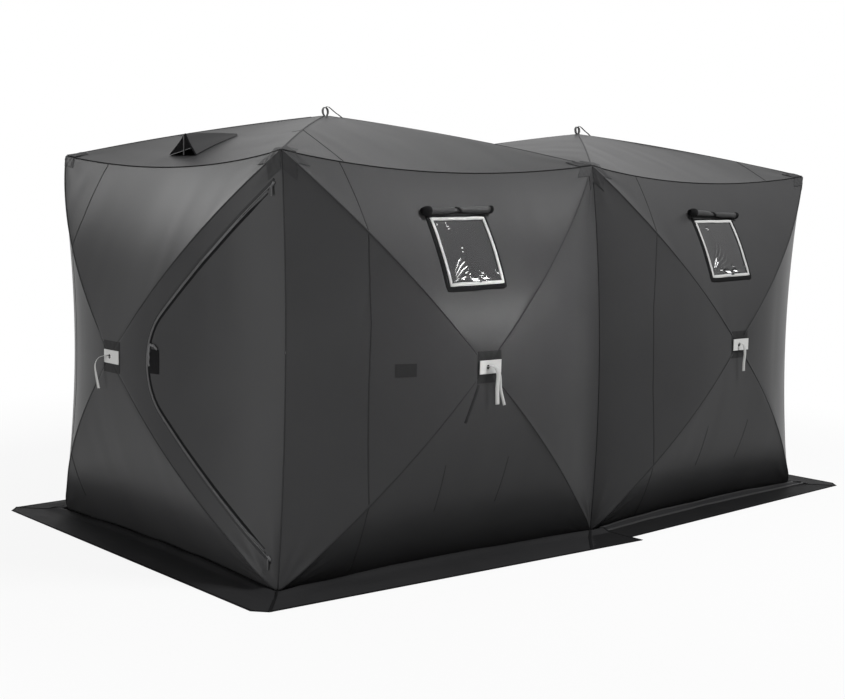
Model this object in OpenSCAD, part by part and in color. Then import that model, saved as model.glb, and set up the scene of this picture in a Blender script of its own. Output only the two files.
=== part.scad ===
// Pop-up ice fishing shelter of two cube bays, open to each other and to the ice.
// Each face is cloth over four bowed poles that meet at a hub pushed outwards.
// X runs along the front, Y from front to back, Z up from the ice.

/* [Shelter] */
// Width of one bay along the front
bay_w = 1800; // [1500:10:2100]
// Depth from front to back
bay_d = 1800; // [1500:10:2100]
// Height of the roof corners above the ice
corner_h = 1765; // [1600:5:1950]
// Height of the roof hubs above the roof corners
roof_rise = 215; // [160:5:300]
// Distance that the wall hubs stand out past the corners
hub_push = 250; // [200:5:300]

/* [Cloth] */
// Thickness of the coated cloth at a seam
cloth_t = 2; // [1:0.5:3]
// Inward bow of the corner edges, along the front
corner_bow_x = 50; // [20:5:70]
// Inward bow of the corner edges, along the ends
corner_bow_y = 30; // [20:5:70]
// Outward bow of the edge between the bays
mid_bow = 54; // [20:2:70]
// Distance that the middle roof corner stands out
mid_top_out = 10; // [5:5:30]
// Distance that the middle foot stands out
mid_foot_out = 75; // [40:5:100]
// Drop of the eaves between the corners
eave_drop = 60; // [30:5:80]
// Inward bow of the eaves
eave_in = 40; // [20:5:60]
// Inward bow of the wall foot between the corners
foot_in = 45; // [20:5:60]
// Rise of the valley between the two roofs
valley_rise = 40; // [20:5:50]
// Gap between neighbouring panels at a seam
seam_gap = 0.3; // [0.2:0.1:0.5]

/* [Poles] */
// Diameter of a glass fibre pole
pole_d = 11; // [9:0.5:13]
// Outward bow of a wall pole
wall_pole_bow = 70; // [50:5:90]
// Upward bow of a roof pole
roof_pole_bow = 15; // [10:5:30]
// Wall of the sockets that hold the poles
socket_wall = 2.7; // [2:0.1:4]
// Depth that a pole sits in a socket
socket_depth = 40; // [30:5:55]
// Clearance round a pole in its socket
pole_clear = 0.3; // [0.2:0.1:0.5]
// Diameter of the disc of a hub
hub_d = 92; // [84:2:110]
// Radius of the block of a corner joint
knuckle_r = 15; // [13:1:18]

/* [Door] */
// Distance of the door's fold line from the front corner
door_fold_in = 55; // [50:5:90]
// Distance of the door's round nose from the hub
door_nose_out = 272; // [240:4:320]
// Radius of the door's round nose
door_nose_r = 300; // [240:10:340]
// Slope of the zips from level
door_slope = 47; // [44:1:49]
// Free gap along the zips
zip_gap = 5; // [5:0.5:8]
// Gap at the fold line
fold_gap = 0.6; // [0.4:0.1:0.9]

/* [Windows] */
// Width of a window opening
window_w = 322; // [280:2:360]
// Height of a window opening
window_h = 287; // [250:1:320]
// Height of the window's middle above the hub
window_up = 490; // [470:5:510]
// Sideways offset of the windows
window_off = -35; // [-60:5:60]
// Sideways lean of a window from its top to its foot
window_lean = 22; // [0:2:30]
// Width of the hook and loop border
border_w = 20; // [14:1:28]
// Length of the rolled window cover
roll_l = 430; // [380:5:470]
// Diameter of the rolled window cover
roll_d = 36; // [28:1:40]
// Height of the roll above the window opening
roll_gap = 30; // [28:1:40]

/* [Hub fittings] */
// Width of a hub plate
plate_w = 125; // [100:1:134]
// Height of a hub plate
plate_h = 58; // [50:1:70]
// Thickness of a hub plate
plate_t = 3; // [2:0.5:5]
// Sideways offset of a plate from its hole
plate_off = 15; // [5:1:20]
// Size of the cloth patch under a plate
patch_s = 138; // [136:1:150]
// Diameter of the hole for the pull strap
strap_hole_d = 20; // [19:0.5:24]
// Width of a pull strap
strap_w = 15; // [12:0.5:17]
// Thickness of a pull strap
strap_t = 2; // [1.5:0.1:3]
// Length of a wall strap that hangs
strap_drop = 130; // [100:5:160]
// Radius at which a strap turns
strap_turn_r = 14; // [12:1:20]
// Height of the straight sides of a roof strap
loop_side_h = 34; // [20:2:50]

/* [Roof vent] */
// Width of the vent's mouth
vent_w = 220; // [180:5:240]
// Height of the vent's mouth
vent_h = 96; // [70:2:110]
// Length of the vent
vent_l = 290; // [240:5:320]
// Distance of the mouth from the eave corners
vent_in = 155; // [140:5:180]
// Offset of the vent towards the back
vent_off = 80; // [0:5:100]
// Diameter of the prop in the mouth
prop_d = 7; // [5:0.5:9]
// Margin of cloth round the vent's hole
vent_margin = 28; // [24:1:34]

/* [Skirt] */
// Width of the skirt at the long sides, at its corners
skirt_w = 210; // [180:5:230]
// Width of the skirt at the two ends
end_skirt_w = 235; // [200:5:260]
// Width of the lapped skirt at the middle foot
lap_w = 280; // [260:5:310]
// Length of the lap past the middle foot
lap_l = 60; // [40:5:90]

/* [Hidden] */
$fn = 48;
// Overrun of every cut
over = 5;
half_w = bay_w / 2;
half_d = bay_d / 2;
half_h = corner_h / 2;
socket_d = pole_d + 2 * (pole_clear + socket_wall);
// Depth of the pole axis under the cloth
pole_depth = socket_d / 2 + 2 * cloth_t;
// Length of the solid root of a socket
socket_root = pole_d;
hub_hole = strap_w;
// Distance of a pole's end from the hub's middle and from the corner
hub_reach = hub_d / 2 - socket_root;
corner_reach = 2 * knuckle_r + socket_root;
knuckle_in = knuckle_r + 2 * cloth_t;
// Steps of the cloth grids, out from the hub and along an edge
out_steps = 7;
along_steps = 7;
roof_steps = 6;
patch_steps = 6;
window_steps = 4;
roll_steps = 8;
roll_sides = 10;
nose_steps = 4;
// Slant of a panel's first cut to the nose, in degrees
nose_start = 9;

// Faces: place, turn, hub height, pole bow, four corners and four edge bows.
// A corner or bow is along the face, up the face and outwards from it.
foot_bow = [0, 0, -foot_in];
eave_bow = [0, -eave_drop, -eave_in];
between_bow = [0, 0, mid_bow];
valley_bow = [0, 0, valley_rise];
outer_corners = [
    [-half_w, -half_h, 0],
    [half_w, -half_h, mid_foot_out],
    [half_w, half_h, mid_top_out],
    [-half_w, half_h, 0]
];
inner_corners = [
    [-half_w, -half_h, mid_foot_out],
    [half_w, -half_h, 0],
    [half_w, half_h, 0],
    [-half_w, half_h, mid_top_out]
];
end_corners = [
    [-half_d, -half_h, 0],
    [half_d, -half_h, 0],
    [half_d, half_h, 0],
    [-half_d, half_h, 0]
];
outer_bows = [foot_bow, between_bow, eave_bow, [corner_bow_x, 0, -corner_bow_y]];
inner_bows = [foot_bow, [-corner_bow_x, 0, -corner_bow_y], eave_bow, between_bow];
end_bows = [
    foot_bow,
    [-corner_bow_y, 0, -corner_bow_x],
    eave_bow,
    [corner_bow_y, 0, -corner_bow_x]
];
front_left = [[-half_w, -half_d, half_h], 0, hub_push, wall_pole_bow, outer_corners, outer_bows];
front_right = [[half_w, -half_d, half_h], 0, hub_push, wall_pole_bow, inner_corners, inner_bows];
back_right = [[half_w, half_d, half_h], 180, hub_push, wall_pole_bow, outer_corners, outer_bows];
back_left = [[-half_w, half_d, half_h], 180, hub_push, wall_pole_bow, inner_corners, inner_bows];
left_end = [[-bay_w, 0, half_h], -90, hub_push, wall_pole_bow, end_corners, end_bows];
right_end = [[bay_w, 0, half_h], 90, hub_push, wall_pole_bow, end_corners, end_bows];
left_top = [
    [-half_w, 0, corner_h], undef, roof_rise, roof_pole_bow,
    [
        [-half_w, -half_d, 0],
        [half_w, -half_d - mid_top_out, 0],
        [half_w, half_d + mid_top_out, 0],
        [-half_w, half_d, 0]
    ],
    [[0, eave_in, -eave_drop], valley_bow, [0, -eave_in, -eave_drop], [eave_in, 0, -eave_drop]]
];
right_top = [
    [half_w, 0, corner_h], undef, roof_rise, roof_pole_bow,
    [
        [-half_w, -half_d - mid_top_out, 0],
        [half_w, -half_d, 0],
        [half_w, half_d, 0],
        [-half_w, half_d + mid_top_out, 0]
    ],
    [[0, eave_in, -eave_drop], [-eave_in, 0, -eave_drop], [0, -eave_in, -eave_drop], valley_bow]
];
walls = [front_left, front_right, back_right, back_left, left_end, right_end];
roofs = [left_top, right_top];

function corner(f, i) = f[4][i % 4];
function edge_bow(f, i) = f[5][i];
function mix(a, b, k) = a + (b - a) * k;
function flat(p) = norm([p.x, p.y]);
function cross_of(a, b) = a.x * b.y - a.y * b.x;

// The point of the shelter at a point of a face.
function place(f, p) = is_undef(f[1])
    ? f[0] + p
    : f[0] + [
        p.x * cos(f[1]) + p.z * sin(f[1]),
        p.x * sin(f[1]) - p.z * cos(f[1]),
        p.y
    ];

// Arc of the cloth over pole i: radius, middle outwards, middle height and run.
function arc(f, i) =
    let (
        c = corner(f, i),
        run = flat(c),
        drop = f[2] - c.z,
        chord = norm([run, drop]),
        r = (chord * chord / 4 + f[3] * f[3]) / (2 * f[3]),
        back = (r - f[3]) / chord
    )
    [r, run / 2 - drop * back, (f[2] + c.z) / 2 - run * back, run];
function arc_w(a, s) = a[2] + sqrt(a[0] * a[0] - pow(s * a[3] - a[1], 2));

// Edge i of a face at share t, and the inside of its cloth at share s out from the hub.
function edge_at(f, i, t) =
    mix(corner(f, i), corner(f, i + 1), t) + 4 * t * (1 - t) * edge_bow(f, i);
function skin(f, i, s, t) =
    let (e = edge_at(f, i, t))
    [
        s * e.x,
        s * e.y,
        mix(arc_w(arc(f, i), s), arc_w(arc(f, i + 1), s), t)
            + 4 * t * (1 - t) * edge_bow(f, i).z * s * s
    ];

// The inside of the cloth of panel i at a place on the face.
function edge_share_at(f, i, p) =
    let (
        c = cross_of(p, corner(f, i)),
        k = 4 * cross_of(p, edge_bow(f, i)),
        b = cross_of(p, corner(f, i + 1) - corner(f, i)) + k
    )
    2 * c / (-b - sign(b) * sqrt(max(0, b * b + 4 * k * c)));
function skin_w(f, i, p) =
    let (t = edge_share_at(f, i, p))
    skin(f, i, flat(p) / flat(edge_at(f, i, t)), t).z;
function lean(f, i, p, d) =
    (skin_w(f, i, p - [0, d]) - skin_w(f, i, p + [0, d])) / (2 * d);

// Stands children on a face, with Z outwards.
module on_face(f) {
    if (is_undef(f[1]))
        translate(f[0]) children();
    else
        translate(f[0]) rotate([90, 0, f[1]]) children();
}

// Closed sheet over a grid of points, thickened along Z.
module sheet(grid, t) {
    rows = len(grid) - 1;
    cols = len(grid[0]) - 1;
    lift = (rows + 1) * (cols + 1);
    low = [for (row = grid) for (p = row) p];
    ids = [for (r = [0 : rows]) [for (c = [0 : cols]) r * (cols + 1) + c]];
    rim = concat(
        [for (r = [0 : rows - 1]) ids[r][0]],
        [for (c = [0 : cols - 1]) ids[rows][c]],
        [for (r = [rows : -1 : 1]) ids[r][cols]],
        [for (c = [cols : -1 : 1]) ids[0][c]]
    );
    cells = [
        for (r = [0 : rows - 1])
            for (c = [0 : cols - 1])
                [ids[r][c], ids[r][c + 1], ids[r + 1][c + 1], ids[r + 1][c]]
    ];
    outside = [for (q = cells) for (k = [1, 2]) [q[0] + lift, q[k] + lift, q[k + 1] + lift]];
    inside = [for (q = cells) for (k = [1, 2]) [q[0], q[k + 1], q[k]]];
    sides = [
        for (k = [0 : len(rim) - 1])
            let (a = rim[k], b = rim[(k + 1) % len(rim)])
                for (face = [[a, a + lift, b + lift], [a, b + lift, b]]) face
    ];
    polyhedron(
        concat(low, [for (p = low) p + [0, 0, t]]),
        concat(outside, inside, sides)
    );
}

// Sheet that follows the cloth of panel i over a grid of places, lifted outwards.
module skin_sheet(f, i, places, lift = 0) {
    sheet([for (row = places) [for (p = row) [p.x, p.y, skin_w(f, i, p) + lift]]], cloth_t);
}

// One of the four sewn panels of a face, from the hub out to its edge.
module panel(f, i, n_out) {
    edge_l = norm(corner(f, i + 1) - corner(f, i));
    first = hub_hole / flat(corner(f, i));
    last = 1 - seam_gap / 2 / half_h;
    sheet(
        [
            for (a = [0 : n_out])
                let (s = mix(first, last, a / n_out), trim = seam_gap / s / edge_l)
                    [for (b = [0 : along_steps]) skin(f, i, s, mix(trim, 1 - trim, b / along_steps))]
        ],
        cloth_t
    );
}

module panels(f, list, n_out = out_steps) {
    for (i = list)
        panel(f, i, n_out);
}

// Poles. Each stands in the plane of its arc, with X out from the hub.
module in_pole_plane(f, i) {
    c = corner(f, i);
    a = arc(f, i);
    rotate([0, 0, atan2(c.y, c.x)])
        rotate([90, 0, 0])
            translate([a[1], a[2], 0])
                children();
}

function pole_r(f, i) = arc(f, i)[0] - pole_depth;
function hub_angle(f, i) = acos((hub_reach - arc(f, i)[1]) / pole_r(f, i));
function corner_angle(f, i) =
    let (a = arc(f, i))
    acos((a[3] - corner_reach - a[1]) / pole_r(f, i));

module pole(f, i) {
    in_pole_plane(f, i)
        rotate([0, 0, corner_angle(f, i)])
            rotate_extrude(angle = hub_angle(f, i) - corner_angle(f, i))
                translate([pole_r(f, i), 0])
                    circle(d = pole_d);
}

module poles(f) {
    on_face(f)
        for (i = [0 : 3])
            pole(f, i);
}

// Socket on a pole's end: way is 1 at the hub and -1 at the corner.
module at_pole_end(f, i, way) {
    in_pole_plane(f, i)
        rotate([0, 0, way > 0 ? hub_angle(f, i) : corner_angle(f, i)])
            translate([pole_r(f, i), 0, 0])
                rotate([-90 * way, 0, 0])
                    children();
}

module socket(f, i, way) {
    at_pole_end(f, i, way)
        translate([0, 0, -socket_depth])
            cylinder(h = socket_depth + socket_root, d = socket_d);
}

module socket_bore(f, i, way) {
    at_pole_end(f, i, way)
        translate([0, 0, -socket_depth - over])
            cylinder(h = socket_depth + over + pole_clear, d = pole_d + 2 * pole_clear);
}

// The middle of a corner socket's solid root, in the shelter.
function root_point(f, i) =
    let (
        a = arc(f, i),
        c = corner(f, i),
        q = corner_angle(f, i),
        out = a[1] + pole_r(f, i) * cos(q) + socket_root * sin(q) / 2,
        up = a[2] + pole_r(f, i) * sin(q) - socket_root * cos(q) / 2
    )
    place(f, [out * c.x / a[3], out * c.y / a[3], up]);

module rod(p, q, d) {
    way = q - p;
    translate(p)
        rotate([0, acos(way.z / norm(way)), atan2(way.y, way.x)])
            cylinder(h = norm(way), d = d);
}

// Hub with a ring of four sockets, under the lowest cloth over its disc.
function hub_top(f) =
    min([
        for (i = [0 : 3])
            for (out = [hub_hole, hub_d / sqrt(2)])
                arc_w(arc(f, i), out / arc(f, i)[3])
    ]) - cloth_t;

module hub(f) {
    on_face(f)
        difference() {
            union() {
                translate([0, 0, hub_top(f) - socket_d])
                    cylinder(h = socket_d, d = hub_d);
                for (i = [0 : 3])
                    socket(f, i, 1);
            }
            for (i = [0 : 3])
                socket_bore(f, i, 1);
        }
}

// Block with an arm and a socket for each pole that comes to a corner.
module corner_joint(middle, members) {
    difference() {
        union() {
            translate(middle - [0, 0, knuckle_r])
                cylinder(h = 2 * knuckle_r, r = knuckle_r);
            for (m = members) {
                rod(middle, root_point(m[0], m[1]), pole_d);
                on_face(m[0])
                    socket(m[0], m[1], -1);
            }
        }
        for (m = members)
            on_face(m[0])
                socket_bore(m[0], m[1], -1);
    }
}

// Windows in the upper panel of the long walls.
window_mid = [window_off, window_up];
roll_v = window_up + window_h / 2 + roll_gap;

// A place in the window at shares of its width and height, from -1/2 to 1/2.
function window_at(w, h, a, b) = window_mid + [a * w - b * h * window_lean / window_h, b * h];

module window_prism(w, h) {
    linear_extrude(2 * hub_push)
        polygon([
            for (side = [[-1, -1], [1, -1], [1, 1], [-1, 1]]) window_at(w, h, side.x / 2, side.y / 2)
        ]);
}

function window_grid(w, h) = [
    for (a = [0 : window_steps])
        [for (b = [0 : window_steps]) window_at(w, h, a / window_steps - 1 / 2, b / window_steps - 1 / 2)]
];

module long_wall(f) {
    color("#303032")
        on_face(f) {
            panels(f, [0, 1, 3]);
            difference() {
                panels(f, [2]);
                window_prism(window_w, window_h);
            }
        }
}

module window_border(f) {
    color("#e4e4e2")
        on_face(f)
            difference() {
                skin_sheet(f, 2, window_grid(window_w - 2 * seam_gap, window_h - 2 * seam_gap));
                window_prism(window_w - 2 * border_w, window_h - 2 * border_w);
            }
}

module window_pane(f) {
    inset = border_w + seam_gap;
    color("#b9bec2", 0.5)
        on_face(f)
            skin_sheet(f, 2, window_grid(window_w - 2 * inset, window_h - 2 * inset));
}

// Rolled cover over a window, as a bowed roll against the cloth.
module window_roll(f) {
    r = roll_d / 2;
    places = [
        for (a = [0 : roll_steps])
            [window_off + mix(-roll_l / 2, roll_l / 2, a / roll_steps), roll_v]
    ];
    rings = [
        for (p = places)
            let (
                l = lean(f, 2, p, r),
                w = skin_w(f, 2, p) + cloth_t + (r * cos(180 / roll_sides) + seam_gap) * sqrt(1 + l * l)
            )
                for (k = [0 : roll_sides - 1])
                    [p.x, p.y + r * cos(360 * k / roll_sides), w + r * sin(360 * k / roll_sides)]
    ];
    last = roll_steps * roll_sides;
    walls_of = [
        for (a = [0 : roll_steps - 1])
            for (k = [0 : roll_sides - 1])
                let (
                    p = a * roll_sides + k,
                    q = a * roll_sides + (k + 1) % roll_sides
                )
                    for (face = [[p, q + roll_sides, q], [p, p + roll_sides, q + roll_sides]]) face
    ];
    color("#232325")
        on_face(f)
            polyhedron(
                rings,
                concat(
                    walls_of,
                    [[for (k = [0 : roll_sides - 1]) k]],
                    [[for (k = [roll_sides - 1 : -1 : 0]) last + k]]
                )
            );
}

// Door in the front panel of the left end wall, between two zips and a fold line.
door_fold = half_d - door_fold_in;
nose_mid = door_nose_out + door_nose_r;
function nose_u(d, q) = nose_mid - (door_nose_r + d) * cos(q);
function door_half(u, d) =
    let (r = door_nose_r + d, out = nose_mid - u)
    out > r * sin(door_slope)
        ? sqrt(max(0, r * r - out * out))
        : r / cos(door_slope) - out * tan(door_slope);
function door_places(d, first, last) = concat(
    [
        for (k = [0 : nose_steps - 1])
            nose_u(d, mix(first, 90 - door_slope, k / nose_steps))
    ],
    [
        for (k = [0 : along_steps])
            mix(nose_u(d, 90 - door_slope), last, k / along_steps)
    ]
);
function pole_line(u) = u * half_h / half_d - seam_gap;

module left_door() {
    d = -zip_gap / 2;
    color("#343436")
        on_face(left_end)
            skin_sheet(left_end, 1, [
                for (u = door_places(d, nose_start, door_fold - fold_gap / 2))
                    [for (b = [0 : along_steps]) [u, mix(-1, 1, b / along_steps) * door_half(u, d)]]
            ]);
}

// Cloth over and under the door, from the hub to the corner.
module door_strip(side) {
    d = zip_gap / 2;
    places = door_places(d, 0, door_fold - fold_gap / 2);
    rows = [
        for (u = places)
            let (near = max(door_half(u, d), seam_gap), far = pole_line(u))
                side > 0 ? [[u, near], [u, mix(near, far, 1 / 2)], [u, far]]
                    : [[u, -far], [u, mix(-far, -near, 1 / 2)], [u, -near]]
    ];
    skin_sheet(left_end, 1, rows);
}

module door_nose_cloth() {
    last = nose_u(zip_gap / 2, 0) - seam_gap;
    skin_sheet(left_end, 1, [
        for (a = [0 : nose_steps])
            let (u = mix(hub_hole, last, a / nose_steps))
                [for (b = [0 : nose_steps]) [u, mix(-1, 1, b / nose_steps) * pole_line(u)]]
    ]);
}

module door_corner_cloth() {
    first = door_fold + fold_gap / 2;
    trim = seam_gap / corner_h;
    places = [
        for (a = [0, 1, 2])
            [
                for (b = [0 : along_steps])
                    let (
                        k = mix(trim, 1 - trim, b / along_steps),
                        e = edge_at(left_end, 1, k) * (1 - seam_gap / half_d)
                    )
                        mix([first, mix(-1, 1, k) * pole_line(first)], [e.x, e.y], a / 2)
            ]
    ];
    skin_sheet(left_end, 1, places);
}

module left_end_wall() {
    color("#303032")
        on_face(left_end) {
            panels(left_end, [0, 2, 3]);
            door_strip(1);
            door_strip(-1);
            door_nose_cloth();
            door_corner_cloth();
        }
}

module right_end_wall() {
    color("#303032")
        on_face(right_end)
            panels(right_end, [0, 1, 2, 3]);
}

// Roof vent on the outer panel of the left roof.
vent_mouth = -half_w + vent_in;
vent_tail = vent_mouth + vent_l;
tail_share = 0.08;
function vent_row(k) =
    let (u = mix(vent_mouth, vent_tail, k), narrow = mix(1, tail_share, k))
    [[u, vent_off], narrow * vent_w / 2, narrow * vent_h];
function on_roof(p) = skin_w(left_top, 3, p) + cloth_t + 4 * seam_gap;

module roof_vent() {
    rows = [for (k = [0, 1 / 3, 2 / 3, 1]) vent_row(k)];
    color("#2a2a2c")
        on_face(left_top)
            for (side = [-1, 1])
                sheet(
                    [
                        for (row = rows)
                            let (
                                p = row[0],
                                base = p + [0, side * row[1]],
                                foot = [base.x, base.y, on_roof(base)],
                                ridge = [p.x, p.y + side * seam_gap / 2, on_roof(p) + row[2]],
                                middle = mix(foot, ridge, 1 / 2)
                            )
                                side < 0 ? [foot, middle, ridge] : [ridge, middle, foot]
                    ],
                    cloth_t
                );
}

module vent_prop() {
    p = vent_row(0)[0] + [prop_d, 0];
    low = on_roof(p);
    color("#8a8d90")
        on_face(left_top)
            translate([p.x, p.y, low])
                cylinder(h = vent_h * (1 - prop_d / vent_l) - prop_d / 2 - 3 * seam_gap, d = prop_d);
}

module vent_hole() {
    far = vent_row(1)[0].x - 2 * vent_margin;
    near = vent_mouth + vent_margin;
    translate([0, vent_off, 0])
        linear_extrude(2 * roof_rise)
            polygon([
                [near, -vent_w / 2 + vent_margin],
                [far, -tail_share * vent_w],
                [far, tail_share * vent_w],
                [near, vent_w / 2 - vent_margin]
            ]);
}

module left_roof() {
    color("#333335")
        on_face(left_top) {
            panels(left_top, [0, 1, 2], roof_steps);
            difference() {
                panels(left_top, [3], roof_steps);
                vent_hole();
            }
        }
}

module right_roof() {
    color("#333335")
        on_face(right_top)
            panels(right_top, [0, 1, 2, 3], roof_steps);
}

// Skirt on the ice. Its plan is along the wall and outwards from it.
foot_gap = 3 * cloth_t / 2;
function foot_at(f, t) =
    let (e = edge_at(f, 0, t))
    [e.x, e.z + cloth_t + foot_gap];
function in_plan(f, p) =
    let (q = place(f, [p.x, 0, p.y]))
    [q.x, q.y];

module skirt(f, points) {
    color("#262628")
        linear_extrude(cloth_t)
            polygon([for (p = points) in_plan(f, p)]);
}

function foot_line(f, first, last) =
    [for (k = [0 : along_steps]) foot_at(f, mix(first, last, k / along_steps))];
corner_lift = [cloth_t, 2 * cloth_t];
lap_share = lap_l / bay_w;

module end_skirt(f) {
    skirt(f, concat(
        [[-half_d - corner_lift.x, corner_lift.y]],
        foot_line(f, seam_gap / bay_d, 1 - seam_gap / bay_d),
        [
            [half_d + corner_lift.x, corner_lift.y],
            [half_d + skirt_w - seam_gap, end_skirt_w],
            [-half_d - skirt_w + seam_gap, end_skirt_w]
        ]
    ));
}

module lapped_skirt(f, next) {
    lap = foot_at(next, lap_share);
    skirt(f, concat(
        [[-half_w - corner_lift.x, corner_lift.y]],
        foot_line(f, seam_gap / bay_w, 1),
        [
            [lap.x + bay_w, lap.y],
            [half_w + lap_l, mid_foot_out + lap_w],
            [-half_w - end_skirt_w + seam_gap, skirt_w]
        ]
    ));
}

module butted_skirt(f) {
    first = lap_share + seam_gap / bay_w;
    skirt(f, concat(
        foot_line(f, first, 1 - seam_gap / bay_w),
        [
            [half_w + corner_lift.x, corner_lift.y],
            [half_w + end_skirt_w - seam_gap, skirt_w],
            [-half_w + lap_l + seam_gap, mid_foot_out + skirt_w]
        ]
    ));
}

// Patch, plate and pull strap at the wall hubs. The cloth's inside is read at any place on a wall.
function panel_at(p) =
    abs(p.y) * half_w > abs(p.x) * half_h ? (p.y < 0 ? 0 : 2) : (p.x > 0 ? 1 : 3);
function wall_w(f, p) = flat(p) < over ? f[2] : skin_w(f, panel_at(p), p);
function hub_grid(w, h, n) = [
    for (a = [0 : n])
        [for (b = [0 : n]) [plate_off + mix(-w / 2, w / 2, a / n), mix(-h / 2, h / 2, b / n)]]
];
function plate_level(f) =
    max([for (row = hub_grid(plate_w, plate_h, patch_steps)) for (p = row) wall_w(f, p)])
        + 2 * (cloth_t + seam_gap);

module strap_hole() {
    linear_extrude(2 * hub_push)
        circle(d = strap_hole_d);
}

module hub_patches() {
    lift = cloth_t + seam_gap;
    color("#242426")
        for (f = walls)
            on_face(f)
                difference() {
                    sheet(
                        [
                            for (row = hub_grid(patch_s, patch_s, patch_steps))
                                [for (p = row) [p.x, p.y, wall_w(f, p) + lift]]
                        ],
                        cloth_t
                    );
                    strap_hole();
                }
}

module hub_plates() {
    color("#e8e8e6")
        for (f = walls)
            on_face(f)
                translate([0, 0, plate_level(f)])
                    linear_extrude(plate_t)
                        difference() {
                            translate([plate_off - plate_w / 2, -plate_h / 2])
                                square([plate_w, plate_h]);
                            circle(d = strap_hole_d);
                        }
}

// Strap that comes from the hub through the plate's hole, turns down and hangs.
module wall_strap(f) {
    out = plate_level(f) + 2 * plate_t;
    root = hub_top(f) + seam_gap;
    on_face(f)
        translate([-strap_w / 2, 0, 0]) {
            translate([0, -strap_t / 2, root])
                cube([strap_w, strap_t, out - root + seam_gap]);
            translate([0, -strap_turn_r, out])
                rotate([90, 0, 90])
                    rotate_extrude(angle = 90)
                        translate([strap_turn_r - strap_t / 2, 0])
                            square([strap_t, strap_w]);
            translate([0, -strap_turn_r - strap_drop, out + strap_turn_r - strap_t / 2])
                cube([strap_w, strap_drop + seam_gap, strap_t]);
        }
}

module wall_straps() {
    color("#d4d4d0")
        for (f = walls)
            wall_strap(f);
}

// Upright loop of strap over a roof hub.
module roof_strap(f) {
    a = arc(f, 0);
    inner = strap_turn_r - strap_t / 2;
    foot = arc_w(a, inner * sqrt(2) / a[3]) + cloth_t + seam_gap;
    top = foot + loop_side_h;
    on_face(f)
        translate([0, strap_w / 2, 0]) {
            for (side = [-1, 1])
                translate([side * strap_turn_r - strap_t / 2, -strap_w, foot])
                    cube([strap_t, strap_w, loop_side_h + seam_gap]);
            translate([0, 0, top])
                rotate([90, 0, 0])
                    rotate_extrude(angle = 180)
                        translate([inner, 0])
                            square([strap_t, strap_w]);
        }
}

module roof_straps() {
    color("#3a3a3c")
        for (f = roofs)
            roof_strap(f);
}

module wall_hubs() {
    color("#1d1d1f")
        for (f = walls)
            hub(f);
}

module roof_hubs() {
    color("#1d1d1f")
        for (f = roofs)
            hub(f);
}

// Corner joints: the block stands in from the corner, and each member is a face and its pole.
roof_in = corner_h - knuckle_in;
foot_up = knuckle_r + cloth_t;
end_in = bay_w - knuckle_in;
side_in = half_d - knuckle_in;

module top_joints() {
    color("#1d1d1f") {
        corner_joint([-end_in, -side_in, roof_in], [[front_left, 3], [left_end, 2], [left_top, 0]]);
        corner_joint(
            [0, -side_in, roof_in],
            [[front_left, 2], [front_right, 3], [left_top, 1], [right_top, 0]]
        );
        corner_joint([end_in, -side_in, roof_in], [[front_right, 2], [right_end, 3], [right_top, 1]]);
        corner_joint([end_in, side_in, roof_in], [[back_right, 3], [right_end, 2], [right_top, 2]]);
        corner_joint(
            [0, side_in, roof_in],
            [[back_right, 2], [back_left, 3], [right_top, 3], [left_top, 2]]
        );
        corner_joint([-end_in, side_in, roof_in], [[back_left, 2], [left_end, 3], [left_top, 3]]);
    }
}

module foot_joints() {
    mid_in = side_in + mid_foot_out;
    color("#1d1d1f") {
        corner_joint([-end_in, -side_in, foot_up], [[front_left, 0], [left_end, 1]]);
        corner_joint([0, -mid_in, foot_up], [[front_left, 1], [front_right, 0]]);
        corner_joint([end_in, -side_in, foot_up], [[front_right, 1], [right_end, 0]]);
        corner_joint([end_in, side_in, foot_up], [[back_right, 0], [right_end, 1]]);
        corner_joint([0, mid_in, foot_up], [[back_right, 1], [back_left, 0]]);
        corner_joint([-end_in, side_in, foot_up], [[back_left, 1], [left_end, 0]]);
    }
}

module pole_set(f) {
    color("#3c3d40")
        poles(f);
}

left_end_wall();
right_end_wall();
long_wall(front_left);  // front_left_wall
long_wall(front_right);  // front_right_wall
long_wall(back_left);  // back_left_wall
long_wall(back_right);  // back_right_wall
left_roof();
right_roof();
left_door();
end_skirt(left_end);  // left_end_skirt
end_skirt(right_end);  // right_end_skirt
lapped_skirt(front_left, front_right);  // front_left_skirt
butted_skirt(front_right);  // front_right_skirt
butted_skirt(back_left);  // back_left_skirt
lapped_skirt(back_right, back_left);  // back_right_skirt
window_pane(front_left);  // front_left_window_pane
window_pane(front_right);  // front_right_window_pane
window_pane(back_left);  // back_left_window_pane
window_pane(back_right);  // back_right_window_pane
window_border(front_left);  // front_left_window_border
window_border(front_right);  // front_right_window_border
window_border(back_left);  // back_left_window_border
window_border(back_right);  // back_right_window_border
window_roll(front_left);  // front_left_window_roll
window_roll(front_right);  // front_right_window_roll
window_roll(back_left);  // back_left_window_roll
window_roll(back_right);  // back_right_window_roll
pole_set(left_end);  // left_end_poles
pole_set(right_end);  // right_end_poles
pole_set(front_left);  // front_left_poles
pole_set(front_right);  // front_right_poles
pole_set(back_left);  // back_left_poles
pole_set(back_right);  // back_right_poles
pole_set(left_top);  // left_roof_poles
pole_set(right_top);  // right_roof_poles
wall_hubs();
roof_hubs();
top_joints();
foot_joints();
hub_patches();
hub_plates();
wall_straps();
roof_straps();
roof_vent();
vent_prop();
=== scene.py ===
# %% [markdown]
# # Pop-up ice fishing shelter
# The object is a folding cloth shelter of two cube bays. Bowed poles push a hub outwards in the middle of
# every wall and roof, and the cloth is sewn to follow them. The CAD frame already holds every part at its
# true place, so this lesson only dresses it: cloth, seams, zips, windows, straps, finishes, light and a
# camera.

# %% Load the measured frame
import math
from collections import namedtuple
from functools import partial

import bmesh
import bpy
import numpy as np
from mathutils import Matrix, Vector


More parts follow.
